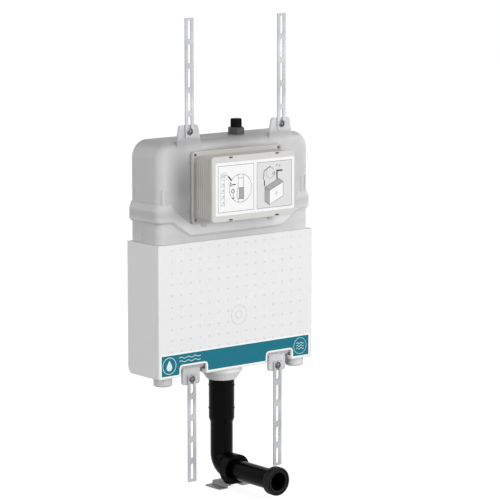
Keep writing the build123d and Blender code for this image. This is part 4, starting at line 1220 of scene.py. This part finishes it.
@dataclass
class FoamJacket:
    """Marks that the mould leaves on the foam jacket's front: vent plugs and a plain ring."""

    wardrobe: Wardrobe
    sink: float = 0.2 * MM
    vent_radius: float = 2.1 * MM
    vent_sides: int = 12
    vent_proud: float = 0.25 * MM
    vent_rim: float = 0.55 * MM
    vent_press: float = 0.2 * MM
    vent_pitch: Spot = (25.6 * MM, 24.5 * MM)
    vent_counts: tuple[int, int] = (15, 10)
    vent_start: Spot = (-179.2 * MM, -88.2 * MM)
    mark_place: Spot = (5 * MM, -26 * MM)
    mark_radii: Spot = (22 * MM, 9 * MM)
    mark_width: float = 1.3 * MM
    mark_proud: float = 0.5 * MM
    mark_margin: float = 6.3 * MM

    def vent(self, front: float) -> Piece:
        """Model the first vent plug: a low disc whose middle is pressed in.

        Args:
            front: Y of the jacket's front.

        Returns:
            The plug.
        """
        layer = Layer(front + self.sink, front - self.vent_proud)
        plug = Bench.disc(
            "jacket_vents", self.vent_start, self.vent_radius, layer, self.vent_sides
        )
        with Bench.editing(plug):
            Bench.select(plug, Pick.FACES, lambda face: face.normal.y < -FACING)
            Bench.step_in(self.vent_rim, self.vent_press)
        return plug

    def vents(self, front: float) -> Piece:
        """Lay the vents out in even rows, clear of the ring mark.

        Args:
            front: Y of the jacket's front.

        Returns:
            The vents.
        """
        vents = self.vent(front)
        Bench.repeat(vents, self.vent_counts, self.vent_pitch)
        keep_off = max(self.mark_radii) + self.mark_margin
        with Bench.editing(vents):
            Bench.select(
                vents,
                Pick.CORNERS,
                lambda vertex: math.dist((vertex.co.x, vertex.co.z), self.mark_place) < keep_off,
            )
            bpy.ops.mesh.select_linked()
            bpy.ops.mesh.delete(type="VERT")
        return vents

    def build(self) -> None:
        """Build and dress the marks."""
        front = box_of("insulation_jacket")[0].y
        layer = Layer(front + self.sink, front - self.mark_proud)
        self.wardrobe.dress(self.vents(front), "cistern", "jacket_foam", Ink.PIT)
        rings = [
            Bench.ring("jacket_mark", self.mark_place, radius, self.mark_width, layer)
            for radius in self.mark_radii
        ]
        mark = Bench.merge("jacket_mark", rings)
        self.wardrobe.dress(mark, "cistern", "jacket_foam", Ink.PIT)


@dataclass(frozen=True)
class Waves:
    """Wavy lines under one another.

    They start so far to the right of and above the middle of the ring sign beside them.
    """

    start: Spot
    length: float
    rows: int
    fall: float


@dataclass
class StripFilm:
    """The coloured strip on the jacket: pale film, a teal field and plain water signs."""

    wardrobe: Wardrobe
    film_depth: float = 0.14 * MM
    field_depth: float = 0.06 * MM
    sign_depth: float = 0.06 * MM
    border: float = 3.2 * MM
    notch_middle: float = 120.7 * MM
    notch_half: float = 36 * MM
    notch_rise: float = 21 * MM
    notch_corner: float = 6 * MM
    corner_facets: int = 6
    sign_insets: Spot = (24 * MM, 28 * MM)
    sign_radius: float = 18.5 * MM
    sign_widths: Spot = (1.2 * MM, 0.8 * MM)
    drop_radius: float = 7.5 * MM
    drop_fall: float = 4 * MM
    wave_width: float = 1.3 * MM
    wave_swell: float = 1.6 * MM
    wave_length: float = 19 * MM
    wave_steps: int = 9
    waves: tuple[Waves, Waves] = (
        Waves((27 * MM, 14 * MM), 58 * MM, 2, 8 * MM),
        Waves((-11 * MM, 6 * MM), 22 * MM, 3, 6 * MM),
    )

    def outline(self, name: str, rear: float, inset: float) -> Piece:
        """Cut the strip's notched outline from a sheet.

        Args:
            name: the piece's name.
            rear: Y of the flat outline.
            inset: how far it is drawn in from the strip's own edge.

        Returns:
            The outline, one face that looks to the front.
        """
        low, high = box_of("jacket_label")
        Bench.clear()
        bpy.ops.mesh.primitive_plane_add(
            size=1,
            location=((low.x + high.x) / 2, rear, (low.z + high.z) / 2),
            rotation=(QUARTER, 0, 0),
        )
        bpy.context.active_object.scale = (high.x - low.x, high.z - low.z, 1)
        piece = Bench.settle(name)
        notch_top = low.z + self.notch_rise
        cuts = [
            ((side * self.notch_middle + end * self.notch_half, 0, 0), (1, 0, 0))
            for side in (-1, 1)
            for end in (-1, 1)
        ]
        with Bench.editing(piece):
            for point, normal in (*cuts, ((0, 0, notch_top), (0, 0, 1))):
                bpy.ops.mesh.select_all(action="SELECT")
                bpy.ops.mesh.bisect(plane_co=point, plane_no=normal)
            Bench.select(
                piece,
                Pick.FACES,
                lambda face: face.calc_center_median().z < notch_top
                and abs(abs(face.calc_center_median().x) - self.notch_middle) < self.notch_half,
            )
            bpy.ops.mesh.delete(type="FACE")
            bpy.ops.mesh.select_all(action="SELECT")
            bpy.ops.mesh.dissolve_limited(angle_limit=math.radians(1))
            if inset > 0:
                bpy.ops.mesh.select_mode(type="FACE")
                bpy.ops.mesh.select_all(action="SELECT")
                bpy.ops.mesh.inset(thickness=inset)
                bpy.ops.mesh.select_all(action="INVERT")
                bpy.ops.mesh.delete(type="FACE")
            for level, wider in ((notch_top, inset), (low.z, -inset)):
                Bench.select(
                    piece,
                    Pick.CORNERS,
                    lambda vertex: abs(vertex.co.z - level - inset) < MM
                    and abs(abs(vertex.co.x) - self.notch_middle) < self.notch_half + inset + MM,
                )
                bpy.ops.mesh.bevel(
                    offset=self.notch_corner + wider,
                    segments=self.corner_facets,
                    affect="VERTICES",
                )
        return piece

    def sheet(self, name: str, layer: Layer, inset: float) -> Piece:
        """Model one sheet of the strip, by pulling its outline out to the front.

        Args:
            name: the piece's name.
            layer: its rear and front.
            inset: how far it is drawn in from the strip's own edge.

        Returns:
            The sheet.
        """
        piece = self.outline(name, layer.rear, inset)
        with Bench.editing(piece):
            bpy.ops.mesh.select_mode(type="FACE")
            bpy.ops.mesh.select_all(action="SELECT")
            Bench.pull(0, layer.front - layer.rear, 0)
            bpy.ops.mesh.select_all(action="SELECT")
            bpy.ops.mesh.normals_make_consistent(inside=False)
        return piece

    def wave_rows(self, waves: Waves, sign: Spot, layer: Layer) -> list[Piece]:
        """Draw wavy lines under one another.

        Args:
            waves: what they are like.
            sign: X and Z of the middle of the ring sign beside them.
            layer: their rear and front.

        Returns:
            The lines.
        """
        x, z = sign[0] + waves.start[0], sign[1] + waves.start[1]
        steps = max(2, round(waves.length / self.wave_length)) * self.wave_steps
        points = [
            (
                x + waves.length * step / steps,
                z + self.wave_swell * math.sin(step / self.wave_steps * math.tau),
            )
            for step in range(steps + 1)
        ]
        first = Bench.ribbon("strip_marks", points, self.wave_width, layer)
        return [first] + [
            Bench.copy(first, (0, 0, -waves.fall * row)) for row in range(1, waves.rows)
        ]

    def signs(self, layer: Layer) -> Piece:
        """Draw the water signs: a drop in a ring, waves in a ring and two wavy lines.

        Args:
            layer: their rear and front.

        Returns:
            The signs.
        """
        low, high = box_of("jacket_label")
        middle = (low.z + high.z) / 2
        left = (low.x + self.sign_insets[0], middle)
        right = (high.x - self.sign_insets[1], middle)
        drop_middle = (left[0], middle - self.drop_fall)
        marks = [
            Bench.ring("strip_marks", left, self.sign_radius, self.sign_widths[0], layer),
            Bench.drop("strip_marks", drop_middle, self.drop_radius, layer),
            Bench.ring("strip_marks", right, self.sign_radius, self.sign_widths[1], layer),
        ]
        for waves, sign in zip(self.waves, (left, right)):
            marks += self.wave_rows(waves, sign, layer)
        return Bench.merge("strip_marks", marks)

    def build(self) -> None:
        """Build and dress the strip."""
        back = box_of("jacket_label")[1].y
        field_rear = back - self.film_depth
        sign_rear = field_rear - self.field_depth
        film = self.sheet("strip_film", Layer(back, field_rear), 0)
        teal = self.sheet("strip_field", Layer(field_rear, sign_rear), self.border)
        signs = self.signs(Layer(sign_rear, sign_rear - self.sign_depth))
        for piece, ink in ((film, None), (teal, Ink.FIELD), (signs, Ink.MARK)):
            self.wardrobe.dress(piece, "cistern", "jacket_print", ink)
        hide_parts("jacket_label")


@dataclass(frozen=True)
class Panel:
    """Where a drawing stands: X and Z of its middle, and Y of the paper under it."""

    middle: Spot
    rear: float
    ink_depth: float = 0.05 * MM

    @property
    def ink(self) -> Layer:
        """The layer of its lines."""
        return Layer(self.rear, self.rear - self.ink_depth)

    @property
    def wash(self) -> Layer:
        """The thinner layer of its filled areas."""
        return Layer(self.rear, self.rear - self.ink_depth / 2)

    def at(self, spot: Spot) -> Spot:
        """Turn millimetres from the panel's middle into X and Z."""
        return (self.middle[0] + spot[0] * MM, self.middle[1] + spot[1] * MM)


@dataclass(frozen=True)
class Stroke:
    """Straight lines from point to point, in millimetres from the panel's middle."""

    points: tuple[Spot, ...]
    width: float = 0.8

    def print_on(self, panel: Panel) -> list[Piece]:
        """Print the lines on a panel."""
        spots = [panel.at(point) for point in self.points]
        return [
            Bench.bar("sheet_lines", start, end, self.width * MM, panel.ink)
            for start, end in zip(spots, spots[1:])
        ]


@dataclass(frozen=True)
class Circle:
    """A circle, in millimetres from the panel's middle."""

    middle: Spot
    radius: float
    width: float

    def print_on(self, panel: Panel) -> list[Piece]:
        """Print the circle on a panel."""
        middle, radius, width = panel.at(self.middle), self.radius * MM, self.width * MM
        return [Bench.ring("sheet_lines", middle, radius, width, panel.ink)]


@dataclass(frozen=True)
class Fill:
    """A four-sided area: one corner, and the ways along the two sides that meet there."""

    corner: Spot
    first: Spot
    second: Spot

    def print_on(self, panel: Panel) -> list[Piece]:
        """Print the area on a panel."""
        first, second = ((way[0] * MM, way[1] * MM) for way in (self.first, self.second))
        return [Bench.leaning("sheet_fill", panel.at(self.corner), first, second, panel.wash)]


def rectangle(low: Spot, high: Spot) -> Stroke:
    """Draw a rectangle between two corners."""
    return Stroke((low, (high[0], low[1]), high, (low[0], high[1]), low))


@dataclass
class InstructionSheet:
    """The sheet on the cover: two framed line drawings of a valve and of a lifted box.

    The drawings are in millimetres from the middle of their panels.
    """

    wardrobe: Wardrobe
    corner: float = 3 * MM
    paper: float = 0.2 * MM
    margin: float = 7 * MM
    gutter: float = 9 * MM
    panel_corner: float = 0.5 * MM
    thin: float = 0.5
    rungs: tuple[int, ...] = (-34, -20, -8, 6)
    pieces: dict[str, list[Piece]] = field(default_factory=dict)

    def draw(self, group: str, panel: Panel, marks: Sequence[Stroke | Circle | Fill]) -> None:
        """Print some marks and keep them in a group.

        Args:
            group: the name of the piece that they become.
            panel: where they stand.
            marks: what to print, in order.
        """
        for mark in marks:
            self.pieces.setdefault(group, []).extend(mark.print_on(panel))

    def draw_valve(self, panel: Panel) -> None:
        """Draw a pipe with its stop valve in a circle, beside a small wall view.

        Args:
            panel: where it stands.
        """
        self.draw("sheet_shades", panel, [Fill((8, -24), (13, 0), (0, 24))])
        body = [
            Circle((12, -1), 31, 0.8),
            rectangle((8, -24), (21, 0)),
            rectangle((3, -24), (8, 0)),
            rectangle((6, 0), (20, 21)),
        ]
        pipes = [
            Stroke(((6, 21), (6, 29))),
            Stroke(((20, 21), (20, 28))),
            Stroke(((7, -24), (7, -31))),
            Stroke(((19, -24), (19, -30))),
        ]
        knob_and_arrow = [
            Circle((-14, 8), 3.4, 1.5),
            Stroke(((-9, 8), (-2, 8)), 2.4),
            Circle((-9, -6), 4.6, 1.8),
            Stroke(((-8, -13), (-8, -23), (-11, -20)), 1.2),
            Stroke(((-8, -23), (-5, -20)), 1.2),
            Stroke(((-21, 26), (-13, 18)), 3.4),
        ]
        rungs = []
        for level in self.rungs:
            rungs.append(Stroke(((-42, level), (-32, level)), self.thin))
            rungs.append(Stroke(((-37, level + 3), (-34, level + 6)), 1.4))
        wall = [
            Stroke(((-42, -38), (-42, 36)), self.thin),
            Stroke(((-32, -38), (-32, 18)), self.thin),
            Circle((-32, 27), 8.5, 0.6),
            Stroke(((-36, 25), (-36, 31)), 1.4),
            Stroke(((-31, 24), (-31, 30), (-28, 30)), 1.2),
        ]
        self.draw("sheet_lines", panel, body + pipes + knob_and_arrow + rungs + wall)

    def draw_box(self, panel: Panel) -> None:
        """Draw a box that is lifted off, with the way it goes.

        Args:
            panel: where it stands.
        """
        foot, low, near, tip = (-27, -36), (-27, -5), (-14, -44), (-14, -13)
        across, rise, right = (13, -8), (0, 31), (24.5, 3.5)
        along = (right[0] - tip[0], right[1] - tip[1])
        self.draw("sheet_shades", panel, [Fill(foot, across, rise), Fill(low, along, across)])
        self.draw("sheet_whites", panel, [Fill(near, along, rise)])
        box = [
            Stroke((low, foot, near, tip)),
            Stroke((low, (11.5, 11.5), right)),
            Stroke((near, (24.5, -27.5), right)),
            Stroke((low, tip, right)),
            Stroke(((2, -21), (9, -18)), self.thin),
            Stroke(((5, -24), (6, -15)), self.thin),
        ]
        lift = [
            Stroke(((-12, 40), (-29, 31), (-31, 13)), 1.6),
            Stroke(((-28.5, 10), (-27.5, -1)), 2.8),
            Stroke(((7, 12), (7, 29), (21, 29)), 3.4),
            Circle((-12, 26), 12, 0.5),
            Circle((-2, 24), 3.2, 1.0),
            Stroke(((4, 40), (9, 43)), 1.2),
            Stroke(((12, 38), (16, 41)), 1.2),
        ]
        self.draw("sheet_lines", panel, box + lift)

    def build(self) -> None:
        """Build and dress the sheet."""
        low, high = box_of("instruction_label")
        paper = Layer(high.y, high.y - self.paper)
        sheet = Bench.plate(
            "instruction_sheet", (low.x, low.z), (high.x, high.z), paper, self.corner
        )
        width = (high.x - low.x - self.gutter) / 2 - self.margin
        height = high.z - low.z - 2 * self.margin
        shift = (self.gutter + width) / 2
        middle_x, middle_z = (low.x + high.x) / 2, (low.z + high.z) / 2
        left = Panel((middle_x - shift, middle_z), paper.front)
        right = Panel((middle_x + shift, middle_z), paper.front)
        grey_ends = around(right.middle, (width, height))
        grey = Bench.plate("grey_panel", *grey_ends, right.wash, self.panel_corner)
        edges = around((0, 0), (width / MM, height / MM))
        for panel in (left, right):
            self.draw("sheet_lines", panel, [rectangle(*edges)])
        self.draw_valve(left)
        self.draw_box(Panel(right.middle, right.wash.front))
        self.wardrobe.dress(sheet, "cover", "label_print")
        self.wardrobe.dress(grey, "cover", "label_print", Ink.PANEL)
        inks = {"sheet_whites": None, "sheet_lines": Ink.LINE, "sheet_shades": Ink.SHADE}
        for group, ink in inks.items():
            piece = Bench.merge(group, self.pieces[group])
            self.wardrobe.dress(piece, "cover", "label_print", ink)
        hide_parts("instruction_label")


@dataclass
class CoverSlots:
    """The cover's four catch slots, in painted shade: a dark ring round each that stands for a
    shaded recess, and a dark insert in it where there is only shade.
    """

    wardrobe: Wardrobe
    gap: Spot = (7.6 * MM, 1.8 * MM)
    gap_reach: Spot = (1.3 * MM, 0.5 * MM)
    gap_corner: float = 0.3 * MM
    notch: Spot = (10.4 * MM, 3.6 * MM)
    notch_proud: float = 0.08 * MM
    notch_corner: float = 1.4 * MM
    hole_reach: float = MM
    inset: Spot = (51 * MM, 3.35 * MM)

    def build(self) -> None:
        """Build and dress the notches and gaps."""
        low, high = box_of("front_cover")
        place, front = (low.x + self.inset[0], low.z + self.inset[1]), low.y
        sunk = Layer(front + self.gap_reach[0], front + self.gap_reach[1])
        proud = Layer(front, front - self.notch_proud)
        through = Layer(front + self.hole_reach, front - self.hole_reach)
        gap = Bench.plate("cover_gap_shades", *around(place, self.gap), sunk, self.gap_corner)
        notch = Bench.plate("cover_notch_shades", *around(place, self.notch), proud, self.notch_corner)
        hole = Bench.block("hole", *around(place, self.gap), through)
        Bench.combine(notch, hole, "DIFFERENCE")
        steps = (high.x - low.x - 2 * self.inset[0], high.z - low.z - 2 * self.inset[1])
        # Both pieces are painted shade in and round the catch slots.
        for piece, ink in ((gap, Ink.GAP_SHADE), (notch, Ink.NOTCH_SHADE)):
            Bench.repeat(piece, (2, 2), steps)
            self.wardrobe.dress(piece, "cover", "cover_plastic", ink)


@dataclass
class EndSeal:
    """The rubber seal on the extension pipe's mouth: a round collar with a groove and a lip.

    Its steps run inwards over its face, each as wide and as deep as its two numbers say.
    """

    wardrobe: Wardrobe
    pipe_radius: float = 22.55 * MM
    pipe_mouth: float = -248 * MM
    bore_radius: float = 20.6 * MM
    bore_step: float = 0.8 * MM
    rim_radius: float = 3.5 * MM
    rim_facets: int = 6
    sides: int = 96
    smooth_angle: float = 50.0
    steps: tuple[Spot, ...] = (
        (1.3 * MM, 0.0),
        (0.6 * MM, 2.2 * MM),
        (1.1 * MM, 0.0),
        (0.6 * MM, -2.0 * MM),
        (1.2 * MM, 0.0),
    )

    def build(self) -> None:
        """Build the collar, step its face inwards, open its bore, and dress it."""
        low, high = box_of("end_seal")
        radius, middle = (high.x - low.x) / 2, (low.z + high.z) / 2
        layer = Layer(high.y, low.y)
        seal = Bench.disc("end_seal_lip", (0, middle), radius, layer, self.sides)
        Bench.bevel_rim(seal, self.rim_radius, self.rim_facets)
        to_bore = radius - self.rim_radius - sum(width for width, _ in self.steps)
        bore_step = (to_bore - self.bore_radius, self.bore_step)
        bore_front = low.y + self.bore_step + sum(depth for _, depth in self.steps)
        with Bench.editing(seal):
            Bench.select(seal, Pick.FACES, lambda face: face.normal.y < -FACING)
            for step in (*self.steps, bore_step):
                Bench.step_in(*step)
            Bench.pull(0, self.pipe_mouth - bore_front, 0)
            Bench.select(seal, Pick.FACES, lambda face: face.normal.y > FACING)
            bpy.ops.mesh.inset(thickness=radius - self.pipe_radius)
            Bench.pull(0, self.pipe_mouth - high.y, 0)
            Bench.select(
                seal,
                Pick.FACES,
                lambda face: len(face.verts) == self.sides
                and abs(face.calc_center_median().y - self.pipe_mouth) < TOUCH,
            )
            bpy.ops.mesh.bridge_edge_loops()
        Bench.smooth(seal, self.smooth_angle)
        self.wardrobe.dress(seal, "outlet_extension", "seal_rubber")
        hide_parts("end_seal")


@dataclass
class CrossScrew:
    """A plated screw with a washer, a domed head and a cross recess.

    The recess has a length, a width and a depth. Dome and overlap are shares of the head's
    height, and the washer's bevel is a share of the washer's.
    """

    wardrobe: Wardrobe
    head_radius: float
    head_height: float
    shank_radius: float
    recess: Place
    washer_height: float = 0.0
    dome: float = 0.8
    dome_facets: int = 7
    dome_profile: float = 0.42
    overlap: float = 0.25
    washer_bevel: float = 0.3
    washer_facets: int = 3
    shank_sides: int = 32

    def head(self, middle: Spot, front: float) -> Piece:
        """Model the head with its cross recess.

        Args:
            middle: X and Z of its middle.
            front: Y of its crown.

        Returns:
            The head.
        """
        layer = Layer(front + self.head_height, front)
        head = Bench.disc("head", middle, self.head_radius, layer)
        Bench.bevel_rim(
            head, self.head_height * self.dome, self.dome_facets, self.dome_profile
        )
        length, width, depth = self.recess
        cut = Layer(front + depth, front - depth)
        for size in ((length, width), (width, length)):
            slot = Bench.block("recess", *around(middle, size), cut)
            Bench.combine(head, slot, "DIFFERENCE")
        return head

    def form(self, middle: Spot, radius: float, layer: Layer) -> Piece:
        """Model the whole screw.

        Args:
            middle: X and Z of its middle.
            radius: its widest radius.
            layer: Y of its end and of its crown.

        Returns:
            The screw.
        """
        seat = layer.front + self.head_height
        shank = Layer(layer.rear, seat - self.head_height * self.overlap + self.washer_height)
        screw = Bench.disc("screw", middle, self.shank_radius, shank, self.shank_sides)
        if self.washer_height > 0:
            washer = Bench.disc("washer", middle, radius, Layer(seat + self.washer_height, seat))
            Bench.bevel_rim(washer, self.washer_height * self.washer_bevel, self.washer_facets)
            Bench.combine(screw, washer, "UNION")
        Bench.combine(screw, self.head(middle, layer.front), "UNION")
        Bench.smooth(screw)
        return screw

    def hang(self, screw: Piece, node: str, body: str) -> None:
        """Dress a screw and let it stand for the model's own.

        Args:
            screw: the modelled screw, or screws.
            node: the model's node.
            body: the body that it moves with.
        """
        screw.name = screw.data.name = f"{node}_detail"
        self.wardrobe.dress(screw, body, "screw_steel")
        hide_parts(node)

    def single(self, places: dict[str, str]) -> None:
        """Build a screw for each of some nodes: the first is modelled and the rest are copies.

        Args:
            places: the body of each node.
        """
        first, *others = places
        home, high = box_of(first)
        middle = (home + high) / 2
        layer = Layer(high.y, home.y)
        screw = self.form((middle.x, middle.z), (high.x - home.x) / 2, layer)
        self.hang(screw, first, places[first])
        for node in others:
            self.hang(Bench.copy(screw, box_of(node)[0] - home), node, places[node])

    def corners(self, node: str, body: str) -> None:
        """Build the four screws of one node, one in each of its corners.

        Args:
            node: the model's four screws.
            body: the body that they move with.
        """
        low, high = box_of(node)
        radius = self.head_radius
        screw = self.form((low.x + radius, low.z + radius), radius, Layer(high.y, low.y))
        steps = (high.x - low.x - 2 * radius, high.z - low.z - 2 * radius)
        Bench.repeat(screw, (2, 2), steps)
        self.hang(screw, node, body)


@dataclass(frozen=True)
class Lamp:
    """A soft square lamp: its place, its power in watts and its side in metres."""

    name: str
    place: Place
    power: float
    size: float


@dataclass
class Studio:
    """Pale floor, white surroundings, soft lamps and the photograph's camera."""

    camera_place: Place = (-3.4790, -4.4504, 0.9906)
    azimuth: float = -39.0112
    elevation: float = 8.9251
    lens: float = 185.72
    sensor: float = 36.0
    far_end: float = 60.0
    floor_side: float = 12.0
    floor_gap: float = 0.3 * MM
    floor_colour: Colour = (0.34, 0.34, 0.34)
    floor_glow: float = 0.85
    floor_roughness: float = 0.9
    floor_gloss: float = 0.1
    room_light: float = 0.48
    lamps: tuple[Lamp, ...] = (
        Lamp("front_lamp", (1.2, -4.2, 1.0), 120.0, 2.6),
        Lamp("side_lamp", (-4.2, -1.6, 0.7), 65.0, 2.4),
    )

    def floor(self) -> None:
        """Lay the floor just under the object."""
        Bench.clear()
        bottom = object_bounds()[0].z - self.floor_gap
        bpy.ops.mesh.primitive_plane_add(size=self.floor_side, location=(0, 0, bottom))
        floor = Bench.settle("floor")
        graph = Graph("pale_floor")
        material = graph.wear(
            Base_Color=opaque(self.floor_colour),
            Roughness=self.floor_roughness,
            Specular_IOR_Level=self.floor_gloss,
            Emission_Color=opaque(WHITE),
            Emission_Strength=graph.seen(self.floor_glow),
        )
        floor.data.materials.append(material)
        floor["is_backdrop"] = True

    def surroundings(self) -> None:
        """Make the room an even white that lights the object softly."""
        world = bpy.data.worlds.new("white_room")
        bpy.context.scene.world = world
        world.use_nodes = True
        nodes = Nodes(world.node_tree)
        strength = nodes.maths("ADD", nodes.seen(1.0 - self.room_light), self.room_light)
        room = nodes.add("ShaderNodeBackground", {"Color": opaque(WHITE), "Strength": strength})
        nodes.add("ShaderNodeOutputWorld", {"Surface": room.outputs["Background"]})

    @staticmethod
    def hang(
        name: str, thing: bpy.types.Light | bpy.types.Camera, place: Place, way: Vector
    ) -> Piece:
        """Put a lamp or a camera into the scene.

        Args:
            name: its name.
            thing: the lamp or camera.
            place: where it hangs.
            way: the way it looks.

        Returns:
            The hung object.
        """
        hung = bpy.data.objects.new(name, thing)
        bpy.context.scene.collection.objects.link(hung)
        hung.location = place
        hung.rotation_euler = way.to_track_quat("-Z", "Y").to_euler()
        return hung

    def light(self) -> None:
        """Hang the soft lamps, each turned to the object's middle."""
        low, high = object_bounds()
        for lamp in self.lamps:
            light = bpy.data.lights.new(lamp.name, "AREA")
            light.energy = lamp.power
            light.size = lamp.size
            self.hang(lamp.name, light, lamp.place, (low + high) / 2 - Vector(lamp.place))

    def camera(self) -> None:
        """Set the camera where the photograph was taken."""
        lens = bpy.data.cameras.new("photo_camera")
        lens.lens = self.lens
        lens.sensor_width = self.sensor
        lens.clip_end = self.far_end
        turn, tilt = math.radians(self.azimuth), math.radians(self.elevation)
        level = math.cos(tilt)
        way = Vector((-math.sin(turn) * level, math.cos(turn) * level, -math.sin(tilt)))
        bpy.context.scene.camera = self.hang("photo_camera", lens, self.camera_place, way)

    def build(self) -> None:
        """Build the whole studio."""
        self.floor()
        self.surroundings()
        self.light()
        self.camera()
        bpy.context.scene.view_settings.view_transform = "Standard"


def screw_the_straps(wardrobe: Wardrobe) -> None:
    """Build the four screws that hold the straps to the tank's tabs.

    Args:
        wardrobe: the materials that dress them.
    """
    screw = CrossScrew(
        wardrobe,
        head_radius=5.5 * MM,
        head_height=4 * MM,
        shank_radius=3 * MM,
        recess=(6.4 * MM, 1.5 * MM, 1.9 * MM),
        washer_height=1.2 * MM,
    )
    arms = [f"{level}_{hand}" for level in ("upper", "lower") for hand in ("left", "right")]
    screw.single({f"{arm}_screw": f"{arm}_pivot" for arm in arms})


def screw_the_frame(wardrobe: Wardrobe) -> None:
    """Build the four screws in the corners of the inspection box's flange."""
    screw = CrossScrew(
        wardrobe,
        head_radius=3 * MM,
        head_height=1.8 * MM,
        shank_radius=1.75 * MM,
        recess=(3.6 * MM, 0.9 * MM, MM),
    )
    screw.corners("frame_screws", "cistern")


def main() -> None:
    """Load the model, build what the looks need, and report each piece."""
    logging.basicConfig(level=logging.INFO, format="%(name)s: %(message)s")
    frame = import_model()
    wardrobe = Wardrobe()
    wardrobe.sew()
    wardrobe.dress_nodes(frame)
    for sub_assembly in (FoamJacket, StripFilm, InstructionSheet, CoverSlots, EndSeal):
        sub_assembly(wardrobe).build()
    screw_the_straps(wardrobe)
    screw_the_frame(wardrobe)
    Studio().build()


if __name__ == "__main__":
    main()
